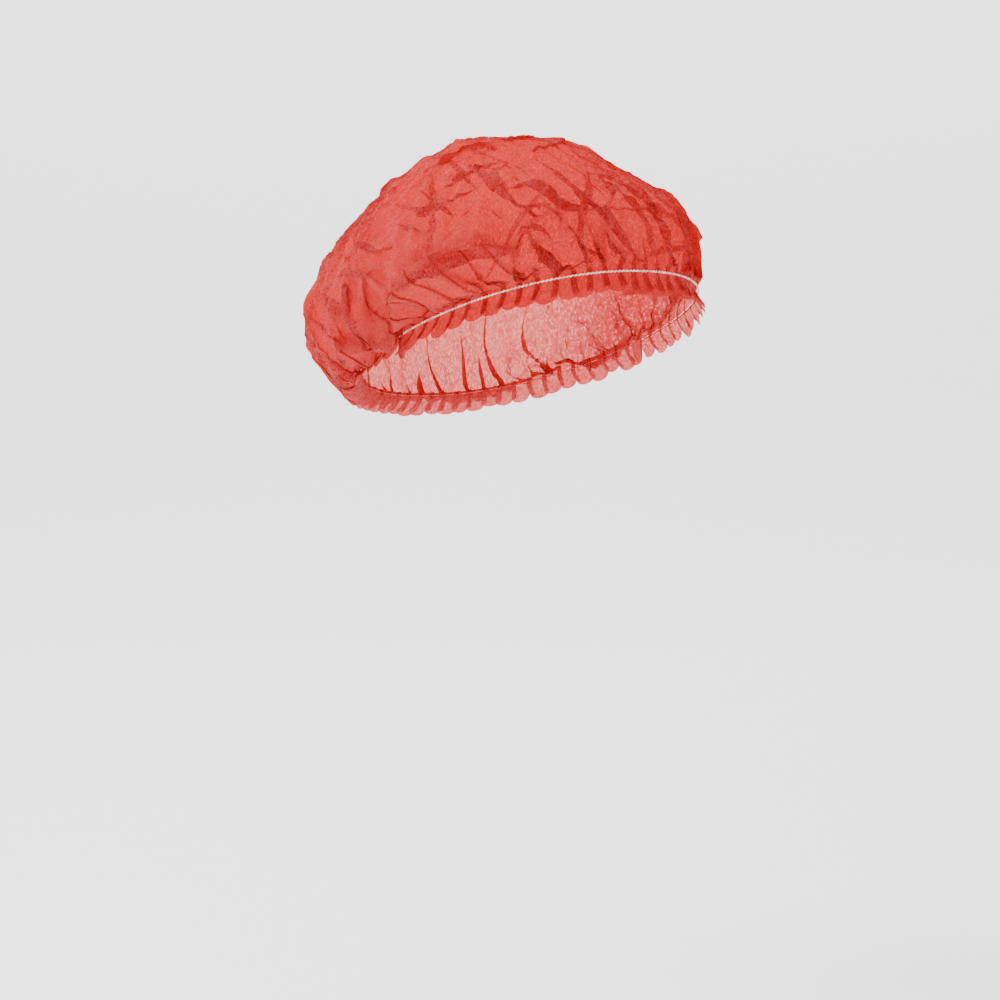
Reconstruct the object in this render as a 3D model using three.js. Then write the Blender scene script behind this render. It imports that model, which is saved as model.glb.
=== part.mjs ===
// A mob cap of thin non-woven cloth, as it sits when worn: a bag gathered into a thin
// elastic, a pleated frill below the elastic and a fused end of the pleats at each ear.
// Millimetres, +Z up, the face toward -Y and the wearer's right toward -X. The origin is
// the middle of the loop that the elastic makes.
import * as THREE from "three";

// Head opening, measured inside the elastic
const HEAD_LENGTH = 196;
const HEAD_BREADTH = 154;
const RIM_TILT = THREE.MathUtils.degToRad(19.5);
const SIDE_TILT = THREE.MathUtils.degToRad(-2);

// Bag above the elastic
const CROWN_RISE = 105;
const PEAK_BACK = 14;
const PEAK_RIGHT = 14;
const SQUARENESS = 2.15;
const CLOTH_WALL = 1.2;

// Pleats round the whole opening, half of them before the ears. The gathers above them
// swell a little as they leave the elastic and end at a share of the bag's rise, like
// the wider ribs, which lean sideways as they climb.
const PLEATS = 64;
const GATHER_DEPTH = 0.7;
const GATHER_SWELL = 3;
const GATHER_SHARE = 0.26;
const GATHERS_PER_RIB = 4;
const RIB_DEPTH = 1.8;
const RIB_SHARE = 0.55;
const RIB_LEAN = THREE.MathUtils.degToRad(14);

// Main folds, which start a share of the bag's rise above the elastic
const FOLD_START_SHARE = 0.06;
const FOLD_WIDTH = 9.5;
const FOLD_DEPTH = 5.5;

// Frill below the elastic
const FRILL_DROP = 10.5;
const FRILL_WALL = 1;
const FRONT_FLARE = 3.5;
const BACK_FLARE = 8;
const FLARE_CURVE = 1.5;
const PLEAT_DEPTH = 2;
const SCALLOP = 2;

// Elastic and fused ends
const ELASTIC_DIAMETER = 1.5;
const END_WIDTH = 7;
const END_DROP = 14;
const END_THICKNESS = 2.4;
const END_RIB = 0.5;
const SEAM_GAP = 0.3;

// Sections of the bag from the elastic up to its peak. Heights are shares of the
// crown's rise, reaches are shares of half the head's length or breadth, drift is the
// share of the way to the peak and tilt the share of the opening's tilt.
const SECTIONS = [
  { rise: 0.0, height: 0.0, front: 1.0, back: 1.0, right: 1.0, left: 1.0, drift: 0.0, tilt: 1.0 },
  { rise: 0.02, height: 0.025, front: 1.0, back: 1.01, right: 1.01, left: 1.0, drift: 0.0, tilt: 1.0 },
  { rise: 0.08, height: 0.06, front: 1.0, back: 1.17, right: 1.18, left: 1.01, drift: 0.0, tilt: 1.0 },
  { rise: 0.16, height: 0.14, front: 1.0, back: 1.27, right: 1.31, left: 1.01, drift: 0.04, tilt: 0.95 },
  { rise: 0.28, height: 0.3, front: 1.03, back: 1.27, right: 1.33, left: 1.02, drift: 0.12, tilt: 0.8 },
  { rise: 0.42, height: 0.5, front: 1.0, back: 1.1, right: 1.15, left: 0.99, drift: 0.28, tilt: 0.55 },
  { rise: 0.57, height: 0.7, front: 0.81, back: 0.84, right: 0.88, left: 0.81, drift: 0.5, tilt: 0.34 },
  { rise: 0.72, height: 0.86, front: 0.57, back: 0.53, right: 0.55, left: 0.57, drift: 0.72, tilt: 0.17 },
  { rise: 0.87, height: 0.965, front: 0.33, back: 0.23, right: 0.24, left: 0.34, drift: 0.92, tilt: 0.05 },
  { rise: 1.0, height: 1.0, front: 0.0, back: 0.0, right: 0.0, left: 0.0, drift: 1.0, tilt: 0.0 },
];

// Rings of the crown's mesh: up to each rise the rings are this far apart and have
// this many columns to a pleat.
const RING_BANDS = [
  { upTo: 0.0, step: 0.02, columnsPerPleat: 2 },
  { upTo: 0.08, step: 0.03, columnsPerPleat: 2 },
  { upTo: 0.2, step: 0.04, columnsPerPleat: 2 },
  { upTo: 0.5, step: 0.055, columnsPerPleat: 1.5 },
  { upTo: 0.68, step: 0.06, columnsPerPleat: 1 },
  { upTo: 0.86, step: 0.06, columnsPerPleat: 0.5 },
  { upTo: 0.97, step: 0.06, columnsPerPleat: 0.25 },
];

// Main folds: headings in degrees from the front, positive to the wearer's left, rises as
// in the sections, bow a sideways share of the fold's own run, and width and depth shares
// of the fold's sizes. The first rows fan from the right ear, then come those that run
// over the top from the forehead, those of the left side and those of the hanging back.
const FOLDS = [
  { fromHeading: -84, fromRise: 0.06, toHeading: -36, toRise: 0.17, bow: 0.1, width: 1.5, depth: 1.5 },
  { fromHeading: -84, fromRise: 0.42, toHeading: -45, toRise: 0.24, bow: 0.06, width: 0.9, depth: 0.9 },
  { fromHeading: -98, fromRise: 0.57, toHeading: -57, toRise: 0.41, bow: 0.05, width: 0.9, depth: 0.8 },
  { fromHeading: -72, fromRise: 0.78, toHeading: -24, toRise: 0.35, bow: -0.05, width: 1.0, depth: 0.8 },
  { fromHeading: -58, fromRise: 0.63, toHeading: -28, toRise: 0.32, bow: -0.08, width: 0.9, depth: 0.7 },
  { fromHeading: -88, fromRise: 0.08, toHeading: -112, toRise: 0.34, bow: 0.06, width: 1.2, depth: 1.2 },
  { fromHeading: -92, fromRise: 0.08, toHeading: -136, toRise: 0.2, bow: -0.06, width: 1.2, depth: 1.3 },
  { fromHeading: -20, fromRise: 0.66, toHeading: -4, toRise: 0.14, bow: -0.06, width: 0.9, depth: 0.8 },
  { fromHeading: 14, fromRise: 0.66, toHeading: 5, toRise: 0.16, bow: -0.05, width: 0.8, depth: 0.8 },
  { fromHeading: 32, fromRise: 0.6, toHeading: 18, toRise: 0.14, bow: -0.04, width: 0.8, depth: 0.9 },
  { fromHeading: 50, fromRise: 0.44, toHeading: 34, toRise: 0.24, bow: 0.05, width: 1.1, depth: 1.0 },
  { fromHeading: 84, fromRise: 0.06, toHeading: 42, toRise: 0.17, bow: -0.1, width: 1.3, depth: 1.1 },
  { fromHeading: 86, fromRise: 0.4, toHeading: 52, toRise: 0.3, bow: -0.06, width: 0.9, depth: 0.8 },
  { fromHeading: 92, fromRise: 0.62, toHeading: 48, toRise: 0.56, bow: -0.05, width: 0.9, depth: 0.7 },
  { fromHeading: 90, fromRise: 0.08, toHeading: 118, toRise: 0.32, bow: -0.06, width: 1.2, depth: 1.0 },
  { fromHeading: 120, fromRise: 0.5, toHeading: 100, toRise: 0.74, bow: 0.05, width: 1.0, depth: 0.7 },
  { fromHeading: 140, fromRise: 0.1, toHeading: 132, toRise: 0.44, bow: 0.06, width: 1.3, depth: 1.1 },
  { fromHeading: 162, fromRise: 0.14, toHeading: 168, toRise: 0.56, bow: -0.05, width: 1.2, depth: 0.9 },
  { fromHeading: 187, fromRise: 0.1, toHeading: 196, toRise: 0.4, bow: 0.05, width: 1.3, depth: 1.1 },
  { fromHeading: 206, fromRise: 0.34, toHeading: 218, toRise: 0.68, bow: -0.05, width: 1.1, depth: 0.8 },
  { fromHeading: 222, fromRise: 0.08, toHeading: 212, toRise: 0.3, bow: 0.06, width: 1.2, depth: 1.1 },
  { fromHeading: 244, fromRise: 0.3, toHeading: 252, toRise: 0.62, bow: 0.05, width: 1.1, depth: 0.8 },
];

const FULL_TURN = 2 * Math.PI;
const HALF_TURN = Math.PI;
const EAR_HEADING = Math.PI / 2;

// Value of one named column at a rise, eased smoothly between the rows of a table.
function columnAt(table, column, rise) {
  const last = table.length - 1;
  const after = table.findIndex((row) => row.rise > rise);
  const upper = after === -1 ? last : Math.max(after, 1);
  const lower = upper - 1;
  const slopeAt = (index) => {
    const before = table[Math.max(index - 1, 0)];
    const next = table[Math.min(index + 1, last)];
    return (next[column] - before[column]) / (next.rise - before.rise);
  };
  const span = table[upper].rise - table[lower].rise;
  const u = THREE.MathUtils.clamp((rise - table[lower].rise) / span, 0, 1);
  const fromLower = (2 * u ** 3 - 3 * u ** 2 + 1) * table[lower][column];
  const fromUpper = (3 * u ** 2 - 2 * u ** 3) * table[upper][column];
  const lowerSlope = (u ** 3 - 2 * u ** 2 + u) * span * slopeAt(lower);
  const upperSlope = (u ** 3 - u ** 2) * span * slopeAt(upper);
  return fromLower + fromUpper + lowerSlope + upperSlope;
}

// Height of the tilted plane of the opening.
function openingHeight(x, y) {
  return -y * Math.tan(RIM_TILT) + x * Math.tan(SIDE_TILT);
}

// Smooth bag before gathers and folds.
function bagPoint(heading, rise) {
  const sine = Math.sin(heading);
  const cosine = Math.cos(heading);
  const round = (Math.abs(sine) ** SQUARENESS + Math.abs(cosine) ** SQUARENESS) ** (-1 / SQUARENESS);
  const sideReach = columnAt(SECTIONS, sine < 0 ? "right" : "left", rise);
  const endReach = columnAt(SECTIONS, cosine > 0 ? "front" : "back", rise);
  const drift = columnAt(SECTIONS, "drift", rise);
  const x = (HEAD_BREADTH / 2) * sideReach * round * sine - PEAK_RIGHT * drift;
  const y = (-HEAD_LENGTH / 2) * endReach * round * cosine + PEAK_BACK * drift;
  const slope = openingHeight(x, y) * columnAt(SECTIONS, "tilt", rise);
  const z = CROWN_RISE * columnAt(SECTIONS, "height", rise) + slope;
  return new THREE.Vector3(x, y, z);
}

// Unit vector that points out of the bag.
function bagNormal(heading, rise) {
  const step = 0.004;
  const low = THREE.MathUtils.clamp(rise - step, 0, 1 - 2 * step);
  const along = bagPoint(heading + step, low).sub(bagPoint(heading - step, low));
  const up = bagPoint(heading, low + 2 * step).sub(bagPoint(heading, low));
  return along.cross(up).normalize();
}

// Level unit vector that points out of the head opening.
function rimOutward(heading) {
  const step = 0.01;
  const along = bagPoint(heading + step, 0).sub(bagPoint(heading - step, 0));
  return new THREE.Vector3(along.y, -along.x, 0).normalize();
}

// Each fold as a short polyline on the smooth bag.
const FOLD_STEPS = 8;
const foldPaths = FOLDS.map((fold) => {
  const points = [];
  const headingRun = THREE.MathUtils.degToRad(fold.toHeading - fold.fromHeading);
  const riseRun = fold.toRise - fold.fromRise;
  for (let step = 0; step <= FOLD_STEPS; step += 1) {
    const share = step / FOLD_STEPS;
    const side = fold.bow * Math.sin(HALF_TURN * share);
    const heading = THREE.MathUtils.degToRad(fold.fromHeading) + headingRun * share - riseRun * side;
    points.push(bagPoint(heading, fold.fromRise + riseRun * share + Math.abs(headingRun) * side));
  }
  return { fold, points };
});

// Height that the folds add at a point of the smooth bag: a ridge with a shallow valley
// beside it, sinking to nothing at both ends of the fold.
function foldHeight(point) {
  let height = 0;
  for (const { fold, points } of foldPaths) {
    const nearest = { distance: Infinity, share: 0 };
    for (let step = 0; step < FOLD_STEPS; step += 1) {
      const segment = new THREE.Line3(points[step], points[step + 1]);
      const along = segment.closestPointToPointParameter(point, true);
      const distance = segment.at(along, new THREE.Vector3()).distanceTo(point);
      if (distance < nearest.distance) {
        nearest.distance = distance;
        nearest.share = (step + along) / FOLD_STEPS;
      }
    }
    const offset = nearest.distance / (FOLD_WIDTH * fold.width);
    const taper = Math.sin(HALF_TURN * nearest.share) ** 0.7;
    height += FOLD_DEPTH * fold.depth * taper * (1 - offset ** 2) * Math.exp(-(offset ** 2));
  }
  return height;
}

// Outer surface of the crown. The fine gathers die out a little above the elastic, and
// wider ribs run on up the bag.
function crownPoint(heading, rise) {
  const point = bagPoint(heading, rise);
  const gatherFade = Math.max(1 - rise / GATHER_SHARE, 0);
  const gatherDepth = GATHER_DEPTH * (1 + GATHER_SWELL * (1 - gatherFade)) * gatherFade;
  const gather = gatherDepth * Math.cos(PLEATS * heading);
  const ribFade = Math.sin(HALF_TURN * Math.min(rise / RIB_SHARE, 1));
  const ribs = Math.round(PLEATS / GATHERS_PER_RIB);
  const rib = RIB_DEPTH * ribFade * Math.cos(ribs * (heading + RIB_LEAN * rise));
  const fold = foldHeight(point) * Math.min(rise / FOLD_START_SHARE, 1);
  return point.addScaledVector(bagNormal(heading, rise), gather + rib + fold);
}

// Triangles between two rows of vertices, each given by its first number, its vertices'
// places along the row and whether it closes on itself.
function stitch(lower, upper, triangles) {
  const vertex = (row, index) => row.first + (index % row.places.length);
  const place = (row, index) => (index < row.places.length ? row.places[index] : 1 + row.places[0]);
  const lowerEnd = lower.places.length - (lower.closed ? 0 : 1);
  const upperEnd = upper.places.length - (upper.closed ? 0 : 1);
  let a = 0;
  let b = 0;
  while (a < lowerEnd || b < upperEnd) {
    const stepLower = b === upperEnd || (a < lowerEnd && place(lower, a + 1) <= place(upper, b + 1));
    if (stepLower) {
      triangles.push(vertex(lower, a), vertex(lower, a + 1), vertex(upper, b));
      a += 1;
    } else {
      triangles.push(vertex(lower, a), vertex(upper, b + 1), vertex(upper, b));
      b += 1;
    }
  }
}

// Row of evenly spaced vertices, numbered from first.
function evenRow(first, count, closed) {
  const spaces = closed ? count : count - 1;
  return { first, places: Array.from({ length: count }, (_, index) => index / spaces), closed };
}

// Closed wall made by thickening a sheet toward its back and closing its open edges.
function thicken(points, triangles, wall) {
  const normals = points.map(() => new THREE.Vector3());
  const edges = new Map();
  for (let index = 0; index < triangles.length; index += 3) {
    const corners = triangles.slice(index, index + 3);
    const [a, b, c] = corners.map((corner) => points[corner]);
    const face = b.clone().sub(a).cross(c.clone().sub(a));
    corners.forEach((corner, side) => {
      normals[corner].add(face);
      const next = corners[(side + 1) % 3];
      if (!edges.delete(`${next} ${corner}`)) {
        edges.set(`${corner} ${next}`, [corner, next]);
      }
    });
  }
  const back = points.map((point, index) => point.clone().addScaledVector(normals[index].normalize(), -wall));
  const indices = [...triangles];
  for (let index = 0; index < triangles.length; index += 3) {
    const [a, b, c] = triangles.slice(index, index + 3);
    indices.push(a + points.length, c + points.length, b + points.length);
  }
  for (const [from, to] of edges.values()) {
    indices.push(to, from, from + points.length);
    indices.push(to, from + points.length, to + points.length);
  }
  return new THREE.BufferGeometry().setFromPoints([...points, ...back]).setIndex(indices);
}

// Solid through rings of equally many points, listed downward, with flat ends.
function loft(rings) {
  const count = rings[0].length;
  const points = rings.flat();
  const indices = [];
  for (let ring = 0; ring + 1 < rings.length; ring += 1) {
    for (let index = 0; index < count; index += 1) {
      const next = (index + 1) % count;
      const top = ring * count;
      const bottom = top + count;
      indices.push(bottom + index, bottom + next, top + index);
      indices.push(bottom + next, top + next, top + index);
    }
  }
  const lastRing = (rings.length - 1) * count;
  const endFaces = [[0, rings[0], false], [lastRing, rings.at(-1), true]];
  for (const [first, ring, facesDown] of endFaces) {
    const centre = ring.reduce((sum, point) => sum.add(point), new THREE.Vector3()).divideScalar(count);
    const middle = points.push(centre) - 1;
    for (let index = 0; index < count; index += 1) {
      const edge = [first + index, first + ((index + 1) % count)];
      indices.push(...(facesDown ? edge.reverse() : edge), middle);
    }
  }
  return new THREE.BufferGeometry().setFromPoints(points).setIndex(indices);
}

const redCloth = new THREE.MeshStandardMaterial({ color: 0xd8423c, roughness: 0.85, metalness: 0 });
const pinkElastic = new THREE.MeshStandardMaterial({ color: 0xf2d3cb, roughness: 0.7, metalness: 0 });
const fusedRed = new THREE.MeshStandardMaterial({ color: 0xb8232a, roughness: 0.5, metalness: 0 });

function namedMesh(name, geometry, material) {
  geometry.computeVertexNormals();
  const mesh = new THREE.Mesh(geometry, material.clone());
  mesh.name = name;
  return mesh;
}

function crown() {
  const points = [];
  const triangles = [];
  let rise = 0;
  let below = null;
  for (const band of RING_BANDS) {
    const count = Math.round(PLEATS * band.columnsPerPleat);
    while (rise <= band.upTo + 1e-9) {
      const ring = evenRow(points.length, count, true);
      for (const place of ring.places) {
        points.push(crownPoint(FULL_TURN * place, rise));
      }
      if (below) {
        stitch(below, ring, triangles);
      }
      below = ring;
      rise += band.step;
    }
  }
  const peak = points.push(crownPoint(0, 1)) - 1;
  for (let index = 0; index < below.places.length; index += 1) {
    triangles.push(below.first + index, below.first + ((index + 1) % below.places.length), peak);
  }
  return namedMesh("crown", thicken(points, triangles, CLOTH_WALL), redCloth);
}

// How far the frill stands out at a share of its drop: little at the brow, more at the
// nape.
function flareAt(heading, drop) {
  const atEdge = FRONT_FLARE + (BACK_FLARE - FRONT_FLARE) * ((1 - Math.cos(heading)) / 2);
  return atEdge * drop ** FLARE_CURVE;
}

// Angle, seen from the middle of the opening, of a length along the rim at an ear.
function angleAtEar(length) {
  return length / (HEAD_LENGTH / 2);
}

// One frill from ear to ear round the middle heading. Each pleat rises slowly, turns back
// sharply and ends in a rounded scallop.
const PLEAT_WAVE = [0, 0.45, 0.85, 1];
const FRILL_ROWS = [1, 0.5, 0];
function frill(name, middleHeading) {
  const half = EAR_HEADING - angleAtEar(END_WIDTH / 2 + SEAM_GAP);
  const columns = (PLEATS / 2) * PLEAT_WAVE.length + 1;
  const points = [];
  const triangles = [];
  let below = null;
  for (const drop of FRILL_ROWS) {
    const row = evenRow(points.length, columns, false);
    row.places.forEach((place, column) => {
      const heading = middleHeading + half * (2 * place - 1);
      const phase = column % PLEAT_WAVE.length;
      const pleat = (GATHER_DEPTH + (PLEAT_DEPTH - GATHER_DEPTH) * drop) * (PLEAT_WAVE[phase] - 1);
      const scallop = SCALLOP * drop * Math.abs(Math.cos((HALF_TURN * phase) / PLEAT_WAVE.length));
      const out = pleat + flareAt(heading, drop);
      const point = bagPoint(heading, 0).addScaledVector(rimOutward(heading), out);
      point.z -= SEAM_GAP + FRILL_DROP * drop - scallop;
      points.push(point);
    });
    if (below) {
      stitch(below, row, triangles);
    }
    below = row;
  }
  return namedMesh(name, thicken(points, triangles, FRILL_WALL), redCloth);
}

// Elastic thread outside the seam, from ear to ear round the middle heading.
const ELASTIC_STEPS = 44;
const ELASTIC_SIDES = 6;
function elastic(name, middleHeading) {
  const radius = ELASTIC_DIAMETER / 2;
  const out = GATHER_DEPTH + SEAM_GAP + radius;
  const half = EAR_HEADING - angleAtEar(END_WIDTH / 2 + SEAM_GAP);
  const path = new THREE.CatmullRomCurve3(
    Array.from({ length: ELASTIC_STEPS + 1 }, (_, step) => {
      const heading = middleHeading + half * ((2 * step) / ELASTIC_STEPS - 1);
      return bagPoint(heading, 0).addScaledVector(rimOutward(heading), out);
    })
  );
  const section = new THREE.Shape(
    Array.from({ length: ELASTIC_SIDES }, (_, side) => {
      const angle = (FULL_TURN * side) / ELASTIC_SIDES;
      return new THREE.Vector2(radius * Math.cos(angle), radius * Math.sin(angle));
    })
  );
  const options = { extrudePath: path, steps: ELASTIC_STEPS, curveSegments: 1 };
  return namedMesh(name, new THREE.ExtrudeGeometry(section, options), pinkElastic);
}

// Fused end of the pleated strip: a ribbed tab that hangs below the seam and narrows
// to a point.
const END_RIBS = 5;
const END_TAPER = [
  { drop: 0, size: 1 },
  { drop: 0.5, size: 0.9 },
  { drop: 0.8, size: 0.65 },
  { drop: 1, size: 0.25 },
];
function fusedEnd(name, heading) {
  const outward = rimOutward(heading);
  const along = new THREE.Vector3(0, 0, 1).cross(outward);
  const rings = END_TAPER.map(({ drop, size }) => {
    const centre = bagPoint(heading, 0).addScaledVector(outward, flareAt(heading, drop));
    centre.addScaledVector(outward, -CLOTH_WALL / 2);
    const ring = [];
    for (const side of [1, -1]) {
      for (let rib = 0; rib <= 2 * END_RIBS; rib += 1) {
        const across = side * size * END_WIDTH * (rib / (2 * END_RIBS) - 0.5);
        const depth = side * size * (END_THICKNESS / 2 - (rib % 2 === 0 ? END_RIB : 0));
        const point = centre.clone().addScaledVector(along, across).addScaledVector(outward, depth);
        point.z = openingHeight(point.x, point.y) - SEAM_GAP - END_DROP * drop;
        ring.push(point);
      }
    }
    return ring;
  });
  return namedMesh(name, loft(rings), fusedRed);
}

const mobCap = new THREE.Group();
mobCap.add(crown());
mobCap.add(frill("front_frill", 0));
mobCap.add(frill("back_frill", HALF_TURN));
mobCap.add(elastic("front_elastic", 0));
mobCap.add(elastic("back_elastic", HALF_TURN));
mobCap.add(fusedEnd("right_end_weld", -EAR_HEADING));
mobCap.add(fusedEnd("left_end_weld", EAR_HEADING));

export default mobCap;
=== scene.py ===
# A disposable mob cap of sheer red spunbond cloth, in the form that it has when worn, in
# metres, +Z up, its front toward -Y and its right side, as worn, toward -X. The shapes
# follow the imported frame's sizes.
import math

import bmesh
import bpy
import numpy as np
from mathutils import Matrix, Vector, noise


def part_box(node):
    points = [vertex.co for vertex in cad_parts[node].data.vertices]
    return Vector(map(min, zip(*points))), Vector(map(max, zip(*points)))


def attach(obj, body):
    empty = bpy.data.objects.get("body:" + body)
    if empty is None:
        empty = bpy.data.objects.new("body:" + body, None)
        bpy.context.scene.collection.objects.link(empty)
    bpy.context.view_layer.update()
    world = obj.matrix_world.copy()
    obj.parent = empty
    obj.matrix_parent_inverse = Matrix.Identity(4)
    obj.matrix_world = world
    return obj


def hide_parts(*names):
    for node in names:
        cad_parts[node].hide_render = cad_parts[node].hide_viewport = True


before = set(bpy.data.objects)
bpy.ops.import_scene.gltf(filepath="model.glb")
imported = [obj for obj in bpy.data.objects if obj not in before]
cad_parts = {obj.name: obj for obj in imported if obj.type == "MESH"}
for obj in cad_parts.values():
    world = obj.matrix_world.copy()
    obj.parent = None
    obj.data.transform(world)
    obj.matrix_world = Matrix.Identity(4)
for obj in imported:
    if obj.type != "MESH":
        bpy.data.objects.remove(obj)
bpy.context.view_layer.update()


# Camera
# A long lens, 36 degrees to the right side of the cap's front and 6 degrees above level.
# It aims below the cap, which so stands high in the picture.
VIEW_AZIMUTH = math.radians(-36)
VIEW_ELEVATION = math.radians(6)
VIEW_DISTANCE = 1.1
VIEW_AIM = Vector((-0.0159, 0.0005, -0.0848))
SENSOR_WIDTH = 36.0
IMAGE_WIDTH_PX = 1000
FOCAL_LENGTH_PX = 2090

toward_camera = Vector((
    math.sin(VIEW_AZIMUTH) * math.cos(VIEW_ELEVATION),
    -math.cos(VIEW_AZIMUTH) * math.cos(VIEW_ELEVATION),
    math.sin(VIEW_ELEVATION),
))
camera_data = bpy.data.cameras.new("camera")
camera_data.sensor_width = SENSOR_WIDTH
camera_data.lens = SENSOR_WIDTH * FOCAL_LENGTH_PX / IMAGE_WIDTH_PX
camera = bpy.data.objects.new("camera", camera_data)
camera.location = VIEW_AIM + VIEW_DISTANCE * toward_camera
camera.rotation_euler = (-toward_camera).to_track_quat("-Z", "Y").to_euler()
bpy.context.collection.objects.link(camera)
bpy.context.scene.camera = camera


# Crown
# A bag of thin spunbond polypropylene, cut as one strip, gathered into the elastic below
# and fused at both sides. The cloth is so thin that it shows only where it lies in folds,
# so tucks, pleats and creases that really double it over are laid into a smooth bag.
MM = 0.001

# The smooth bag at rises from 0 at the elastic to 1 at the top: its height, its reach to
# each side as a share of the opening's, how far its middle has drifted toward the peak,
# and how much of the rim's tilt it keeps.
SECTION_COLUMNS = ("rise", "height", "front", "back", "right", "left", "drift", "tilt")
SECTIONS = np.array([
    (0.00, 0.000, 1.00, 1.00, 1.00, 1.00, 0.00, 1.00),
    (0.02, 0.025, 1.00, 1.01, 1.01, 1.00, 0.00, 1.00),
    (0.08, 0.060, 1.00, 1.17, 1.18, 1.01, 0.00, 1.00),
    (0.16, 0.140, 1.00, 1.27, 1.31, 1.01, 0.04, 0.95),
    (0.28, 0.300, 1.03, 1.27, 1.33, 1.02, 0.12, 0.80),
    (0.42, 0.500, 1.00, 1.10, 1.15, 0.99, 0.28, 0.55),
    (0.57, 0.700, 0.81, 0.84, 0.88, 0.81, 0.50, 0.34),
    (0.72, 0.860, 0.57, 0.53, 0.55, 0.57, 0.72, 0.17),
    (0.87, 0.965, 0.33, 0.23, 0.24, 0.34, 0.92, 0.05),
    (1.00, 1.000, 0.00, 0.00, 0.00, 0.00, 1.00, 0.00),
])
SQUARENESS = 2.15
RIM_SLOPE = math.tan(math.radians(19.5))
SIDE_SLOPE = math.tan(math.radians(-2))
PEAK_BACK = 14 * MM
PEAK_RIGHT = 14 * MM

# The elastic lies this far outside the opening on each side, so its box gives the
# opening's length and breadth.
ELASTIC_STANDS_OUT = 2.5 * MM
front_elastic_low, front_elastic_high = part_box("front_elastic")
back_elastic_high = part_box("back_elastic")[1]
half_breadth = (front_elastic_high[0] - front_elastic_low[0]) / 2 - ELASTIC_STANDS_OUT
half_length = (back_elastic_high[1] - front_elastic_low[1]) / 2 - ELASTIC_STANDS_OUT
crown_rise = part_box("crown")[1][2]


def section(column, rise):
    """Smoothly eased value of one column at each rise."""
    rises = SECTIONS[:, 0]
    values = SECTIONS[:, SECTION_COLUMNS.index(column)]
    slopes = np.empty_like(values)
    slopes[1:-1] = (values[2:] - values[:-2]) / (rises[2:] - rises[:-2])
    slopes[0] = (values[1] - values[0]) / (rises[1] - rises[0])
    slopes[-1] = (values[-1] - values[-2]) / (rises[-1] - rises[-2])
    lower = np.clip(np.searchsorted(rises, rise, side="right") - 1, 0, len(rises) - 2)
    span = rises[lower + 1] - rises[lower]
    u = np.clip((rise - rises[lower]) / span, 0, 1)
    below = (2 * u**3 - 3 * u**2 + 1) * values[lower]
    below = below + (u**3 - 2 * u**2 + u) * span * slopes[lower]
    above = (3 * u**2 - 2 * u**3) * values[lower + 1]
    above = above + (u**3 - u**2) * span * slopes[lower + 1]
    return below + above


def bag(heading, rise):
    """Points of the smooth bag at headings in radians and rises from 0 to 1."""
    heading, rise = np.broadcast_arrays(heading, rise)
    sine = np.sin(heading)
    cosine = np.cos(heading)
    round_share = np.abs(sine) ** SQUARENESS + np.abs(cosine) ** SQUARENESS
    round_share = round_share ** (-1 / SQUARENESS)
    side = np.where(sine < 0, section("right", rise), section("left", rise))
    end = np.where(cosine > 0, section("front", rise), section("back", rise))
    drift = section("drift", rise)
    x = half_breadth * side * round_share * sine - PEAK_RIGHT * drift
    y = -half_length * end * round_share * cosine + PEAK_BACK * drift
    slope = (-y * RIM_SLOPE + x * SIDE_SLOPE) * section("tilt", rise)
    z = crown_rise * section("height", rise) + slope
    return np.stack([x, y, z], axis=-1)


def unit(vectors):
    """Vectors scaled to length one."""
    return vectors / np.maximum(np.linalg.norm(vectors, axis=-1, keepdims=True), 1e-12)


def bag_outward(heading, rise):
    """Unit vectors out of the bag."""
    step = 0.004
    low = np.clip(rise - step, 0, 1 - 2 * step)
    along = bag(heading + step, low) - bag(heading - step, low)
    up = bag(heading, low + 2 * step) - bag(heading, low)
    return unit(np.cross(along, up))


# One pleat seen from below: at each phase, how far the cloth has gone along the rim and
# how far out it lies. It runs past the next pleat's start, doubles back under itself and
# sets off again, as in a row of shingles.
PLEATS = 64
PLEAT_PROFILE = np.array([
    # phase, along, out
    (0.00, 0.00, 0.22),
    (0.08, 0.14, 0.45),
    (0.20, 0.38, 0.66),
    (0.34, 0.68, 0.82),
    (0.48, 0.98, 0.95),
    (0.56, 1.14, 1.00),
    (0.61, 1.19, 0.88),
    (0.66, 1.14, 0.62),
    (0.76, 0.99, 0.40),
    (0.84, 0.88, 0.18),
    (0.89, 0.85, 0.05),
    (0.94, 0.90, 0.06),
])
PLEAT_FADE_RISE = 0.24
PLEAT_FADE_CURVE = 0.8
GATHER_DEPTH = 0.9 * MM
GATHER_BULGE = 3.4

# At the elastic the cloth is held. Above it, tucks, creases and buckles each come in from
# one rise to another.
TUCK_FULL_RISE = 0.04
CREASE_START_RISE = 0.03
CREASE_FULL_AFTER = 0.12
BUCKLE_START_RISE = 0.01
BUCKLE_FULL_AFTER = 0.05

# Ripples that take over from the pleats and run on up the bag.
RIB_COLUMNS = ("count", "depth", "peak", "end", "lean")
RIBS = [dict(zip(RIB_COLUMNS, row)) for row in (
    # count, depth in mm, rise at its deepest, rise where it ends, lean in radians a rise
    (32, 1.2, 0.14, 0.40, 0.20),
    (16, 1.8, 0.26, 0.62, 0.25),
    (23, 0.8, 0.36, 0.80, -0.60),
)]

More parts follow.
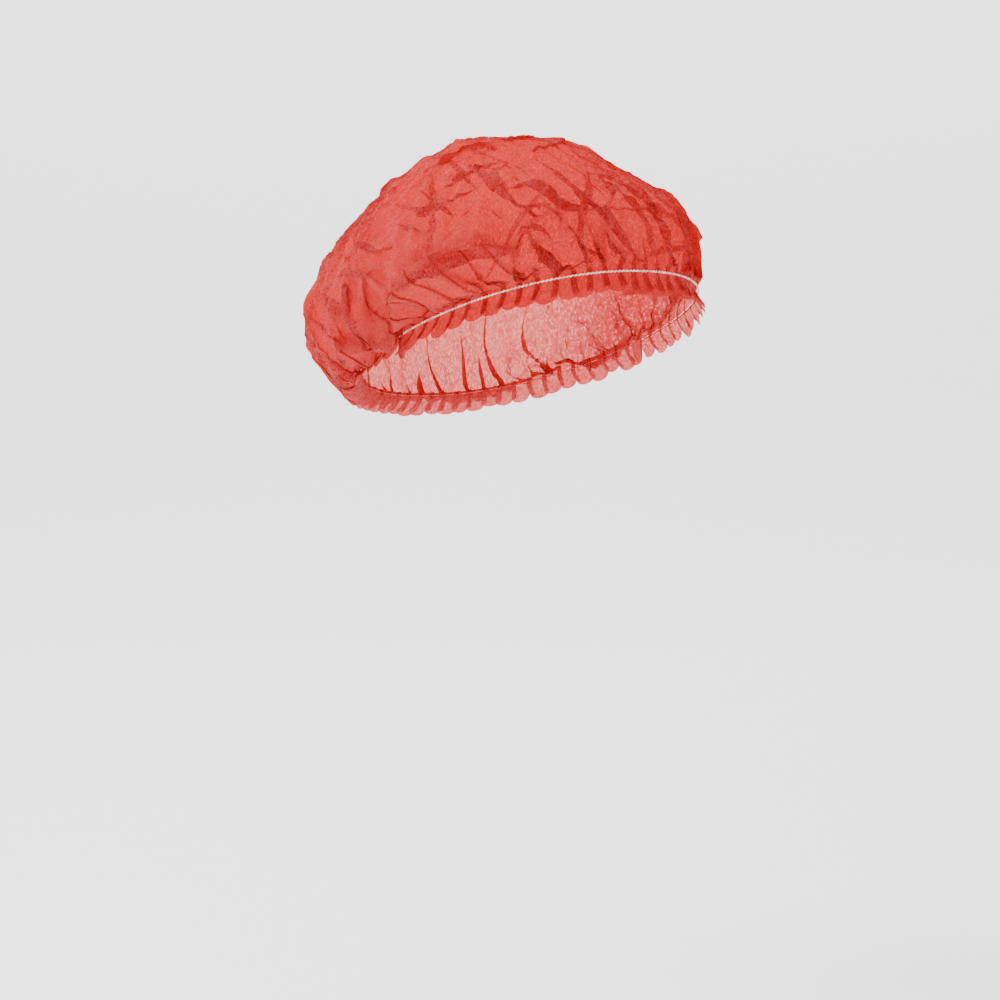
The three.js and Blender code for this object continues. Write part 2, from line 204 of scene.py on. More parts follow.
# Tucks, each along a line through points of heading in degrees and rise. Half width is
# in millimetres, overlap is how much of it doubles over, lip is the height of its edge in
# millimetres and side says which way the edge faces: 1 down or to the right side.
TUCK_COLUMNS = ("points", "half_width", "overlap", "lip", "side")
TUCKS = [
    # Fan from the right fused end
    (((-88, 0.05), (-76, 0.14), (-63, 0.20), (-53, 0.21), (-45, 0.20), (-37, 0.17)),
     17, 0.95, 8.0, 1),
    (((-76, 0.27), (-64, 0.31), (-53, 0.31), (-44, 0.28), (-34, 0.22)), 8, 0.80, 3.0, 1),
    (((-78, 0.41), (-64, 0.36), (-54, 0.30), (-47, 0.25), (-42, 0.20)), 7.5, 0.80, 2.6, 1),
    (((-76, 0.30), (-70, 0.27), (-63, 0.29), (-55, 0.35), (-50, 0.33)), 5, 0.70, 2.0, 1),
    (((-92, 0.55), (-75, 0.48), (-70, 0.45), (-64, 0.46), (-57, 0.41)), 7.5, 0.75, 2.6, 1),
    (((-80, 0.57), (-63, 0.50), (-57, 0.50), (-51, 0.56)), 4.5, 0.65, 1.8, 1),
    (((-96, 0.40), (-88, 0.37), (-80, 0.33), (-72, 0.36)), 6.5, 0.75, 2.4, -1),
    (((-98, 0.30), (-90, 0.28), (-82, 0.24), (-76, 0.18)), 6.0, 0.80, 2.6, 1),
    (((-70, 0.35), (-62, 0.33), (-56, 0.36), (-50, 0.44)), 4.5, 0.80, 2.2, -1),
    (((-66, 0.56), (-58, 0.60), (-50, 0.66), (-40, 0.70)), 5.0, 0.80, 2.2, 1),
    (((-48, 0.30), (-42, 0.27), (-36, 0.28), (-30, 0.24), (-27, 0.17)), 5.0, 0.80, 2.4, 1),
    (((-36, 0.40), (-30, 0.36), (-26, 0.28), (-26, 0.18)), 4.5, 0.80, 2.2, -1),
    # Over the top from the front
    (((-66, 0.71), (-49, 0.59), (-43, 0.49), (-38, 0.38)), 8.0, 0.80, 2.8, 1),
    (((-54, 0.59), (-43, 0.53), (-33, 0.50), (-28, 0.41), (-21, 0.34), (-14, 0.31)),
     7.0, 0.80, 2.8, 1),
    (((-39, 0.59), (-36, 0.54), (-33, 0.51)), 4.0, 0.70, 1.6, -1),
    (((-46, 0.40), (-40, 0.32), (-33, 0.22)), 4.0, 0.60, 1.4, -1),
    (((-44, 0.49), (-37, 0.38), (-31, 0.32), (-22, 0.31)), 5.5, 0.70, 2.0, 1),
    (((-22, 0.66), (-20, 0.53), (-19, 0.42), (-14, 0.36), (-11, 0.26), (-7, 0.18), (-4, 0.07)),
     8.5, 0.80, 3.0, 1),
    (((4, 0.64), (-4, 0.54), (-8, 0.44), (-10, 0.34), (-7, 0.22), (-4, 0.12)), 5.5, 0.75, 2.2, 1),
    (((6, 0.60), (-2, 0.50), (-4, 0.40), (-2, 0.30), (3, 0.19), (7, 0.08)), 5.0, 0.75, 2.0, 1),
    (((14, 0.56), (9, 0.44), (6, 0.31), (11, 0.21), (16, 0.08)), 5.5, 0.75, 2.2, 1),
    (((22, 0.50), (19, 0.36), (20, 0.22), (24, 0.08)), 5.0, 0.70, 2.0, 1),
    (((-21, 0.39), (-20, 0.28), (-20, 0.17), (-20, 0.06)), 5.0, 0.75, 1.8, 1),
    (((-88, 0.70), (-72, 0.79), (-56, 0.80), (-40, 0.79)), 7.0, 0.70, 2.2, -1),
    (((-70, 0.62), (-58, 0.66), (-44, 0.64), (-30, 0.66)), 5.0, 0.60, 1.6, 1),
    (((30, 0.84), (10, 0.77), (-10, 0.74), (-24, 0.74)), 6.0, 0.65, 1.8, 1),
    (((-60, 0.86), (-20, 0.84), (10, 0.86)), 6.0, 0.60, 1.8, -1),
    # The left side
    (((88, 0.04), (76, 0.12), (62, 0.17), (50, 0.16), (40, 0.11)), 14, 0.88, 4.5, -1),
    (((86, 0.36), (72, 0.35), (60, 0.30), (50, 0.22)), 7.0, 0.75, 2.6, -1),
    (((92, 0.56), (78, 0.52), (66, 0.50), (56, 0.44)), 7.0, 0.70, 2.4, 1),
    (((78, 0.70), (60, 0.62), (48, 0.50), (44, 0.40)), 7.0, 0.75, 2.4, -1),
    (((112, 0.46), (100, 0.56), (84, 0.66), (64, 0.74)), 7.5, 0.75, 2.6, 1),
    (((96, 0.26), (84, 0.24), (72, 0.24), (62, 0.26)), 6.0, 0.75, 2.4, 1),
    # The hanging back
    (((148, 0.36), (140, 0.46), (129, 0.57), (112, 0.66)), 6.0, 0.85, 3.0, 1),
    (((170, 0.42), (170, 0.52), (178, 0.64), (190, 0.72)), 5.5, 0.85, 2.8, -1),
    (((206, 0.38), (212, 0.48), (220, 0.60), (238, 0.72)), 5.5, 0.85, 2.8, -1),
    (((238, 0.36), (245, 0.44), (250, 0.54), (264, 0.66)), 5.5, 0.85, 2.8, 1),
    (((150, 0.66), (168, 0.74), (188, 0.78), (208, 0.80)), 5.0, 0.80, 2.2, 1),
    (((118, 0.72), (140, 0.79), (172, 0.85)), 4.5, 0.80, 2.0, -1),
]

# At each side the folded strip opens like a fan from its fused end. Each fold runs from
# the end at an angle in degrees, where 0 is forward and 90 is up.
FAN_FOLDS = 15
FAN_FIRST_ANGLE = 12
FAN_LAST_ANGLE = 176
FAN_UNEVEN = 0.3
FAN_START_MM = 5
FAN_START_RISE = 0.03
FAN_REACH_MM = (26, 52)
FAN_BEND = 0.35
FAN_HALF_WIDTH = (4.0, 7.0)
FAN_OVERLAP = (0.65, 0.85)
FAN_LIP = (2.0, 3.6)
MM_PER_HEADING = 1.45
MM_PER_RISE = 175
fold_source = np.random.default_rng(12)
fan_folds = []
for ear_heading, forward in ((-90, 1), (90, -1)):
    for fold in range(FAN_FOLDS):
        uneven_fold = fold + fold_source.uniform(-FAN_UNEVEN, FAN_UNEVEN)
        spread = (FAN_LAST_ANGLE - FAN_FIRST_ANGLE) * uneven_fold / (FAN_FOLDS - 1)
        angle = math.radians(FAN_FIRST_ANGLE + spread)
        reach = fold_source.uniform(*FAN_REACH_MM)
        bend = fold_source.uniform(-FAN_BEND, FAN_BEND)
        line = []
        for share in (0, 0.35, 0.7, 1):
            turned = angle + bend * share
            away = FAN_START_MM + reach * share
            line.append((
                ear_heading + forward * away * math.cos(turned) / MM_PER_HEADING,
                FAN_START_RISE + away * math.sin(turned) / MM_PER_RISE,
            ))
        fan_folds.append((
            tuple(line),
            fold_source.uniform(*FAN_HALF_WIDTH),
            fold_source.uniform(*FAN_OVERLAP),
            fold_source.uniform(*FAN_LIP),
            fold_source.choice((-1, 1)),
        ))

# Most pleats run on above the elastic as gathers, long at the front and short at the
# sides. The rise where they end is given by heading.
GATHER_HEADINGS = (-90, -60, -40, -20, 20, 60, 86, 100, 140, 180, 220, 270)
GATHER_ENDS = (0.10, 0.15, 0.24, 0.46, 0.62, 0.60, 0.18, 0.16, 0.36, 0.42, 0.34, 0.10)
GATHER_START_RISE = 0.035
GATHERS_LEFT_OUT = 0.2
LONG_GATHER = (0.85, 1.25)
SHORT_GATHER = (0.4, 0.7)
GATHER_LEAN = -20
GATHER_LEAN_SHARE = (0.5, 1.4)
BACK_LEAN = -0.4
GATHER_WAVER = 1.3
BROAD_GATHER = (5.5, 7.5)
NARROW_GATHER = (3.6, 5.0)
GATHER_OVERLAP = (0.80, 1.0)
HIGH_LIP = (2.2, 3.4)
LOW_LIP = (1.4, 2.2)
LIPS_ONE_WAY = 0.8
gathers = []
for pleat in range(PLEATS):
    heading = -90 + 360 * (pleat + 0.5) / PLEATS
    if fold_source.uniform() < GATHERS_LEFT_OUT:
        continue
    longest = float(np.interp(heading, GATHER_HEADINGS, GATHER_ENDS))
    long_one = pleat % 2 == 0
    in_front = heading < 90
    end = longest * fold_source.uniform(*(LONG_GATHER if long_one else SHORT_GATHER))
    lean = GATHER_LEAN * fold_source.uniform(*GATHER_LEAN_SHARE) * (1 if in_front else BACK_LEAN)
    line = []
    for share in (0, 0.3, 0.65, 1):
        line.append((
            heading + lean * end * share + fold_source.normal(0, GATHER_WAVER),
            GATHER_START_RISE + (end - GATHER_START_RISE) * share,
        ))
    gathers.append((
        tuple(line),
        fold_source.uniform(*(BROAD_GATHER if long_one and in_front else NARROW_GATHER)),
        fold_source.uniform(*GATHER_OVERLAP),
        fold_source.uniform(*(HIGH_LIP if long_one else LOW_LIP)),
        1 if fold_source.uniform() < LIPS_ONE_WAY else -1,
    ))

STEPS_IN_SPAN = 4


def smooth_path(through):
    """Points of a smooth curve through the rows given."""
    ends = np.vstack([2 * through[0] - through[1], through, 2 * through[-1] - through[-2]])
    t = np.linspace(0, 1, STEPS_IN_SPAN, endpoint=False)[:, None]
    spans = []
    for a, b, c, d in zip(ends, ends[1:], ends[2:], ends[3:]):
        bend = a - 2.5 * b + 2 * c - d / 2
        twist = 1.5 * (b - c) + (d - a) / 2
        spans.append(b + t * ((c - a) / 2 + t * (bend + t * twist)))
    return np.vstack(spans + [through[-1:]])


# A tuck reaches some half widths to each side, thins toward its ends and wavers. Its edge
# lifts in a lip beside its middle. Cloth that one tuck has taken is left alone by the next
# ones. Its middle lies in a flat ribbon with a hard edge, thickest in the broadest tucks.
TUCK_REACH = 2.2
LEAST_TAPER = 0.4
MOST_TAPER = 0.9
FULL_TURN = 6.28
TUCK_WAVER = 0.22
TUCK_WAVER_TURN = 9
TUCK_END_ROUND = 1.5
GATHER_SWELL_SHARE = 0.05
GATHER_SWELL = 1.3
LIP_PLACE = 0.34
TAKEN_SHARE = 0.85
TAKEN_GROWTH = 1.6
FOLD_SHARE = 0.42
FOLD_EDGE = 0.10
FOLD_GROWTH = 1.4
USUAL_HALF_WIDTH = 7
THICKEST_FOLD = 2.2


def lay_tucks(points, outward):
    """Moves that double the cloth over along each tuck, and how far it lies in a fold."""
    moves = np.zeros_like(points)
    folded = np.zeros(len(points))
    taken = np.zeros(len(points))
    shape_source = np.random.default_rng(31)
    for number, row in enumerate(TUCKS + fan_folds + gathers):
        tuck = dict(zip(TUCK_COLUMNS, row))
        from_rim = number >= len(TUCKS) + len(fan_folds)
        curve = smooth_path(np.array(tuck["points"], dtype=float))
        path = bag(np.radians(curve[:, 0]), curve[:, 1])
        half_width = tuck["half_width"] * MM
        early, late, phase = shape_source.uniform(
            (LEAST_TAPER, LEAST_TAPER, 0), (MOST_TAPER, MOST_TAPER, FULL_TURN)
        )
        middle = path.mean(axis=0)
        radius = np.linalg.norm(path - middle, axis=-1).max() + TUCK_REACH * half_width
        chosen = np.flatnonzero(np.linalg.norm(points - middle, axis=-1) < radius)
        place = points[chosen]
        best = np.full(len(place), np.inf)
        across = np.zeros(len(place))
        along_share = np.zeros(len(place))
        sideways = np.zeros_like(place)
        steps = len(path) - 1
        for step in range(steps):
            start = path[step]
            run = path[step + 1] - start
            along = np.clip((place - start) @ run / (run @ run), 0, 1)
            offset = place - start - along[:, None] * run
            distance = np.linalg.norm(offset, axis=-1)
            beside = unit(np.cross(outward[chosen], run))
            closer = distance < best
            best[closer] = distance[closer]
            across[closer] = (offset * beside).sum(axis=-1)[closer]
            along_share[closer] = ((step + along) / steps)[closer]
            sideways[closer] = beside[closer]
        share = np.clip(along_share, 0, 1)
        if from_rim:
            swell = np.clip(share / GATHER_SWELL_SHARE, 0, 1)
            taper = swell * GATHER_SWELL * (1 - share) ** late
        else:
            taper = share**early * (1 - share) ** late / (0.5 ** (early + late))
        past_end = np.sqrt(np.maximum(best**2 - across**2, 0)) / half_width
        rounded = np.exp(-((TUCK_END_ROUND * past_end) ** 2))
        taper = np.minimum(taper, 1) * rounded * (1 - taken[chosen])
        width_here = half_width * (1 + TUCK_WAVER * np.sin(phase + TUCK_WAVER_TURN * share))
        q = tuck["side"] * across / width_here
        window = np.clip(1 - q**2, 0, 1)
        shift = -tuck["side"] * tuck["overlap"] * width_here * np.sin(math.pi * q) * window * taper
        lip = tuck["lip"] * MM * np.exp(-(((q + LIP_PLACE) / LIP_PLACE) ** 2)) * window**0.5 * taper
        moves[chosen] += sideways * shift[:, None] + outward[chosen] * lip[:, None]
        taken_here = window**0.5 * np.minimum(TAKEN_GROWTH * taper, 1) * TAKEN_SHARE
        taken[chosen] = np.maximum(taken[chosen], taken_here)
        ribbon = FOLD_SHARE * np.minimum(FOLD_GROWTH * taper, 1) ** 0.5 - np.abs(q)
        crumpled = np.clip(ribbon / FOLD_EDGE, 0, 1)
        thickness = min(tuck["half_width"] / USUAL_HALF_WIDTH, THICKEST_FOLD)
        folded[chosen] = np.maximum(folded[chosen], crumpled * thickness)
    return moves, folded


# The bag holds more cloth than its form needs, so the cloth buckles. A coarse net of it
# is grown, and each of its threads is then pulled to its new length, turn after turn,
# while the net is held softly to the bag's form and kept from sinking into it. Its rows
# run in arcs from side to side and its columns lean to the right.
NET_COLUMNS = 132
NET_ROWS = 34
NET_TURNS = 200
NET_LEAN = math.radians(28)
NET_ARC = 0.10
NET_HOLD = 0.006
NET_BEND = 0.04
NET_SINK = 1.2 * MM
NET_PUSH = 0.7
NET_UNEVEN = 0.8 * MM
NET_TOP = 0.985
NET_PLACE_PASSES = 6
RIDGE_SHARE = 0.6
GROWTH_ROUND = 0.10
GROWTH_UP = 0.075
FRONT_GROWTH_ROUND = 0.04
FRONT_LESS_UP = 0.9
FRONT_MIDDLE = math.radians(15)
FRONT_HALF_WIDTH = math.radians(75)
NET_THREADS = (
    # rows on, columns on, stiffness
    (0, 1, 0.5),
    (1, 0, 0.5),
    (1, 1, 0.2),
    (1, -1, 0.2),
)


def buckled_net():
    """How far each point of the net moves as the cloth buckles, by row and column."""
    rows, columns = np.meshgrid(np.arange(NET_ROWS), np.arange(NET_COLUMNS), indexing="ij")
    column_heading = -math.pi / 2 + columns * 2 * math.pi / NET_COLUMNS
    level = rows / (NET_ROWS - 1)
    rise = level + NET_ARC * np.sin(math.pi * level) * np.cos(2 * column_heading)
    heading = column_heading - NET_LEAN * level
    base = bag(heading, np.minimum(rise, NET_TOP))
    outward = bag_outward(heading, rise)
    flat_base = base.reshape(-1, 3)
    flat_outward = outward.reshape(-1, 3)
    ridge = (lay_tucks(flat_base, flat_outward)[0] * flat_outward).sum(axis=-1)
    source = np.random.default_rng(3)
    uneven = source.normal(0, NET_UNEVEN, ridge.shape) * (rows.ravel() > 0)
    start_height = RIDGE_SHARE * ridge + uneven
    from_front = np.abs((heading - FRONT_MIDDLE + math.pi) % (2 * math.pi) - math.pi)
    front = np.clip(1 - from_front / FRONT_HALF_WIDTH, 0, 1).ravel()
    grow_round = 1 + GROWTH_ROUND + FRONT_GROWTH_ROUND * front
    grow_up = 1 + GROWTH_UP * (1 - FRONT_LESS_UP * front)
    threads = []
    for row_step, column_step, stiffness in NET_THREADS:
        grow = (grow_round + grow_up) / 2
        if row_step == 0:
            grow = grow_round
        elif column_step == 0:
            grow = grow_up
        for first in (0, 1):
            chosen = (columns if row_step == 0 else rows) % 2 == first
            chosen = chosen & (rows + row_step < NET_ROWS)
            start = (rows * NET_COLUMNS + columns)[chosen]
            end = ((rows + row_step) * NET_COLUMNS + (columns + column_step) % NET_COLUMNS)[chosen]
            length = np.linalg.norm(flat_base[end] - flat_base[start], axis=-1) * grow[start]
            threads.append((start, end, length, stiffness / 2))
    free = (rows.ravel() > 0) & (rows.ravel() < NET_ROWS - 1)
    free = free[:, None].astype(float)
    net = flat_base + flat_outward * start_height[:, None]
    for turn in range(NET_TURNS):
        for start, end, length, share in threads:
            gap = net[end] - net[start]
            now = np.linalg.norm(gap, axis=-1)
            pull = gap * (share * (now - length) / np.maximum(now, 1e-9))[:, None]
            net[start] += pull * free[start]
            net[end] -= pull * free[end]
        grid = net.reshape(NET_ROWS, NET_COLUMNS, 3)
        round_mean = (np.roll(grid, 1, axis=1) + np.roll(grid, -1, axis=1)) / 2
        up_mean = (grid[2:] + grid[:-2]) / 2
        grid[1:-1] += NET_BEND * (round_mean[1:-1] + up_mean - 2 * grid[1:-1])
        net += NET_HOLD * (flat_base - net)
        depth = ((net - flat_base) * flat_outward).sum(axis=-1)
        net -= flat_outward * (NET_PUSH * np.minimum(depth + NET_SINK, 0))[:, None]
    return (net - flat_base).reshape(NET_ROWS, NET_COLUMNS, 3)


def cubic_weights(u):
    """Weights of four neighbours for a smooth curve through them."""
    return (
        0.5 * (-u + 2 * u**2 - u**3),
        0.5 * (2 - 5 * u**2 + 3 * u**3),
        0.5 * (u + 4 * u**2 - 3 * u**3),
        0.5 * (-(u**2) + u**3),
    )


def net_moves_at(moves, heading, rise):
    """The net's moves at headings and rises between its points."""
    level = rise
    for turn in range(NET_PLACE_PASSES):
        column_heading = heading + NET_LEAN * level
        arc = NET_ARC * np.sin(math.pi * level) * np.cos(2 * column_heading)
        level = np.clip(rise - arc, 0, 1)
    row = np.clip(level * (NET_ROWS - 1), 0, NET_ROWS - 1 - 1e-6)
    column = (heading + NET_LEAN * level + math.pi / 2) / (2 * math.pi) * NET_COLUMNS
    low = np.floor(row).astype(int)
    left = np.floor(column).astype(int)
    row_weights = cubic_weights(row - low)
    column_weights = cubic_weights(column - left)
    total = np.zeros((len(row), 3))
    for i, row_weight in enumerate(row_weights):
        at_row = np.clip(low + i - 1, 0, NET_ROWS - 1)
        for j, column_weight in enumerate(column_weights):
            weight = (row_weight * column_weight)[:, None]
            total += weight * moves[at_row, (left + j - 1) % NET_COLUMNS]
    return total


# Where the bag pokes out or hangs over its elastic, by heading in degrees, rise, reach in
# millimetres, and millimetres outward and up.
PUFF_COLUMNS = ("heading", "rise", "reach", "out", "up")
PUFFS = [dict(zip(PUFF_COLUMNS, row)) for row in (
    (57, 0.37, 12, 7.0, -1.0),
    (58, 0.14, 15, -5.0, 0.0),
    (50, 0.50, 20, -6.0, 0.0),
    (20, 0.76, 26, 3.0, 2.0),
    (-100, 0.93, 34, 0.0, 1.6),
    (-62, 0.13, 18, 4.0, -2.0),
    (-75, 0.16, 6, 3.0, 1.5),
    (-65, 0.205, 6, 2.5, 2.0),
    (-56, 0.215, 5, 3.0, 2.0),
    (-47, 0.205, 6, 3.5, 1.0),
    (-88, 0.09, 12, 4.5, -8.0),
    (-101, 0.06, 12, 3.0, -10.0),
    (-114, 0.05, 12, 2.5, -9.0),
    (-124, 0.05, 11, 3.0, -9.0),
    (-126, 0.24, 18, 2.0, -3.0),
    (-136, 0.10, 20, -9.0, 0.0),
    (-80, 0.66, 40, -2.0, 0.0),
    (104, 0.07, 16, 3.0, -8.0),
    (150, 0.10, 26, 2.0, -4.0),
    (205, 0.10, 28, 2.0, -4.0),
)]


def puff_out(points, outward):
    """Moves of the points that make the bag poke out or hang over."""
    moves = np.zeros_like(points)
    for puff in PUFFS:
        middle = bag(np.radians([puff["heading"]]), np.array([puff["rise"]]))
        near = np.exp(-(np.linalg.norm(points - middle, axis=-1) / (puff["reach"] * MM)) ** 2)
        moves += near[:, None] * (outward * puff["out"] * MM + np.array([0, 0, puff["up"] * MM]))
    return moves


# Creases are ridges of a noise in several octaves, each shifted away from the last. Big
# ones cross the whole bag. Small ones stand higher in the bunched cloth at each side.
CREASE_OCTAVES = 3
OCTAVE_SHIFT = 1.7
CREASE_STEEPNESS = 2.4
BIG_CREASE = 34 * MM
BIG_CREASE_HEIGHT = 1.5
BIG_CREASE_ROUGHNESS = 0.6
BIG_CREASE_SEED = 3.0
SMALL_CREASE = 11 * MM
SMALL_CREASE_HEIGHT = 0.9
SMALL_CREASE_ROUGHNESS = 0.5
SMALL_CREASE_SEED = 11.0
SMALL_CREASE_SQUEEZE = (1.6, 1, 0.8)
EAR_CREASE_RISE = 0.08
EAR_CREASE_HEIGHT = 2.0
EAR_CREASE_REACH = 30 * MM
CREASES_SINK = 1.0


def crease_height(point, size, roughness, seed):
    """Crisp random creases between -1 and 1 at a scale in metres."""
    value = 0.0
    weight = 1.0
    total = 0.0
    for octave in range(CREASE_OCTAVES):
        scale = 2**octave / size
        sample = noise.noise(point * scale + Vector((seed, OCTAVE_SHIFT * octave, 0.3)))
        value += weight * (1 - CREASE_STEEPNESS * abs(sample))
        total += weight
        weight *= roughness
    return value / total - 0.5


# Rows of the crown's mesh, denser in the pleats near the elastic: up to each rise, the
# number of rows and of columns round the bag.
CROWN_BANDS = [
    # from rise, to rise, rows, columns in a pleat
    (0.00, 0.10, 20, len(PLEAT_PROFILE)),
    (0.10, 0.26, 24, len(PLEAT_PROFILE)),
    (0.26, 0.60, 62, 8),
    (0.60, 0.82, 34, 6),
    (0.82, 0.95, 18, 3),
    (0.95, 0.99, 5, 1),
]


def pleat_columns(count):
    """Places in pleats round the whole rim, following the profile's phases where it can."""
    if count == len(PLEAT_PROFILE):
        phases = PLEAT_PROFILE[:, 0]
    else:
        phases = np.arange(count) / count
    return (np.arange(PLEATS)[:, None] + phases[None]).ravel()


def stitch(first_a, places_a, first_b, places_b, turn):
    """Faces between two closed rows of vertices with different numbers of columns."""
    faces = []
    a = 0
    b = 0
    count_a = len(places_a)
    count_b = len(places_b)
    while a < count_a or b < count_b:
        next_a = places_a[a + 1] if a + 1 < count_a else turn
        next_b = places_b[b + 1] if b + 1 < count_b else turn
        corner_a = first_a + a % count_a
        corner_b = first_b + b % count_b
        following_a = first_a + (a + 1) % count_a
        following_b = first_b + (b + 1) % count_b
        if a < count_a and b < count_b and abs(next_a - next_b) < 1e-6:
            faces.append((corner_a, following_a, following_b, corner_b))
            a += 1
            b += 1
        elif b == count_b or (a < count_a and next_a <= next_b):
            faces.append((corner_a, following_a, corner_b))
            a += 1
        else:
            faces.append((corner_a, following_b, corner_b))
            b += 1
    return faces


def pleat_at(place):
    """Along and out of the pleat profile at places counted in pleats."""
    whole = np.floor(place)
    phases = np.append(PLEAT_PROFILE[:, 0], 1.0)
    along = np.append(PLEAT_PROFILE[:, 1], 1.0)
    out = np.append(PLEAT_PROFILE[:, 2], PLEAT_PROFILE[0, 2])
    phase = place - whole
    return whole + np.interp(phase, phases, along), np.interp(phase, phases, out)


PLEATS_UNEVEN = 0.05
pleat_jitter = np.random.default_rng(7).normal(0, PLEATS_UNEVEN, PLEATS)


def pleat_heading(place):
    """Heading in radians of places counted in pleats from the right fused end forward."""
    uneven = np.interp(place, np.arange(PLEATS + 1), np.append(pleat_jitter, pleat_jitter[0]))
    return -math.pi / 2 + 2 * math.pi * (place + uneven) / PLEATS


def crown_points(place, rise):
    """The crown's surface at places in pleats and rises, its bag's outward and its folds."""
    along, out = pleat_at(place)
    fade = np.clip(1 - rise / PLEAT_FADE_RISE, 0, 1) ** PLEAT_FADE_CURVE
    moved = place + fade * (along - place)
    heading = pleat_heading(moved)
    base = bag(heading, rise)
    outward = bag_outward(heading, rise)
    depth = GATHER_DEPTH * (1 + GATHER_BULGE * (1 - fade)) * fade
    height = depth * out
    for rib in RIBS:
        swell = np.where(
            rise < rib["peak"],
            rise / rib["peak"],
            np.clip((rib["end"] - rise) / (rib["end"] - rib["peak"]), 0, 1),
        )
        wave = np.cos(rib["count"] * (heading + rib["lean"] * rise))
        height = height + rib["depth"] * MM * np.sin(swell * math.pi / 2) ** 2 * wave
    moves, folded = lay_tucks(base, outward)
    settle = np.clip(rise / TUCK_FULL_RISE, 0, 1)
    points = base + outward * height[:, None] + moves * settle[:, None]
    big = np.array([
        crease_height(Vector(p), BIG_CREASE, BIG_CREASE_ROUGHNESS, BIG_CREASE_SEED)
        for p in points
    ])
    small = np.array([
        crease_height(Vector(p), SMALL_CREASE, SMALL_CREASE_ROUGHNESS, SMALL_CREASE_SEED)
        for p in points * np.array(SMALL_CREASE_SQUEEZE)
    ])
    ears = bag(np.array([-math.pi / 2, math.pi / 2]), np.full(2, EAR_CREASE_RISE))
    from_ear = np.linalg.norm(base[:, None] - ears[None], axis=-1).min(axis=1)
    at_ear = np.exp(-((from_ear / EAR_CREASE_REACH) ** 2))
    small_height = SMALL_CREASE_HEIGHT + EAR_CREASE_HEIGHT * at_ear
    crumple = (BIG_CREASE_HEIGHT * big + small_height * small - CREASES_SINK) * MM
    crumple = crumple * np.clip((rise - CREASE_START_RISE) / CREASE_FULL_AFTER, 0, 1)
    buckle = net_moves_at(net_moves, heading, rise) + puff_out(base, outward)
    buckle_share = np.clip((rise - BUCKLE_START_RISE) / BUCKLE_FULL_AFTER, 0, 1)
    settled = points + outward * crumple[:, None] + buckle * buckle_share[:, None]
    return settled, outward, folded


def crown_mesh():
    """Mesh data of the crown: points, outward, folds, faces and places on the flat cloth."""
    places = []
    rises = []
    faces = []
    rows = []
    for low, high, row_count, columns in CROWN_BANDS:
        band_places = pleat_columns(columns)
        for rise in np.linspace(low, high, row_count, endpoint=False):
            first = sum(len(row) for row in places)
            places.append(band_places)
            rises.append(np.full(len(band_places), rise))
            if rows:
                faces += stitch(rows[-1][0], rows[-1][1], first, band_places, PLEATS)
            rows.append((first, band_places))
    place = np.append(np.concatenate(places), 0.0)
    rise = np.append(np.concatenate(rises), 1.0)
    points, outward, folded = crown_points(place, rise)
    first, last_places = rows[-1]
    peak = len(points) - 1
    last_count = len(last_places)
    faces += [(first + i, first + (i + 1) % last_count, peak) for i in range(last_count)]
    return points, outward, folded, faces, place, rise


# Across a pleat and up the bag, the lengths of flat cloth that set the fibres' scale.
CLOTH_PER_PLEAT = 13 * MM
CLOTH_UP_THE_BAG = 190 * MM
UV_PER_METRE = 10

# The side of a fold stands on edge to whoever looks at the bag, so more cloth lies in
# each line of sight there. How many layers' worth is kept with the mesh.
STEEPEST_SLOPE = 0.26


def layers_on_edge(mesh, outward):
    """Layers' worth of cloth at each point, seen along the outward direction."""
    normals = np.empty(3 * len(mesh.vertices), dtype=np.float32)
    mesh.vertices.foreach_get("normal", normals)
    slope = np.abs((normals.reshape(-1, 3) * outward).sum(axis=-1))
    return 1 / np.maximum(slope, STEEPEST_SLOPE)


def keep_layers(mesh, layers):
    """Store the layers' worth of cloth on the mesh's points."""
    kept = mesh.attributes.new("layers", "FLOAT", "POINT")
    kept.data.foreach_set("value", layers.astype(np.float32))


def cloth_object(name, points, faces, along_cloth, up_cloth):
    """Smooth-shaded mesh whose UV map is the place on the flat cloth, in decimetres."""
    mesh = bpy.data.meshes.new(name)
    mesh.from_pydata([tuple(p) for p in points], [], [tuple(int(i) for i in f) for f in faces])
    uv_layer = mesh.uv_layers.new(name="cloth")
    corners = np.empty(len(mesh.loops), dtype=np.int32)
    mesh.loops.foreach_get("vertex_index", corners)
    uv = np.stack([along_cloth[corners], up_cloth[corners]], axis=-1) * UV_PER_METRE
    uv_layer.data.foreach_set("uv", uv.astype(np.float32).ravel())
    mesh.shade_smooth()
    obj = bpy.data.objects.new(name, mesh)
    bpy.context.collection.objects.link(obj)
    return obj


net_moves = buckled_net()
points, outward, folded, faces, place, rise = crown_mesh()
along_cloth = place * CLOTH_PER_PLEAT
up_cloth = rise * CLOTH_UP_THE_BAG
crown = cloth_object("crown_cloth", points, faces, along_cloth, up_cloth)


def linear(hex_colour):
    """Linear colour of an sRGB hex number."""
    channels = [((hex_colour >> shift) & 255) / 255 for shift in (16, 8, 0)]
    return [c / 12.92 if c <= 0.04045 else ((c + 0.055) / 1.055) ** 2.4 for c in channels] + [1.0]


def add_node(tree, kind, inputs=None, **settings):
    """New node with its settings, and its inputs' values or the nodes that they read."""
    node = tree.nodes.new(kind)
    for key, value in settings.items():
        setattr(node, key, value)
    for key, value in (inputs or {}).items():
        if isinstance(value, bpy.types.Node):
            value = value.outputs[0]
        if isinstance(value, bpy.types.NodeSocket):
            tree.links.new(value, node.inputs[key])
        else:
            node.inputs[key].default_value = value
    return node


def new_material(name):
    """New material and its empty tree."""
    material = bpy.data.materials.new(name)
    material.use_nodes = True
    material.node_tree.nodes.clear()
    return material, material.node_tree


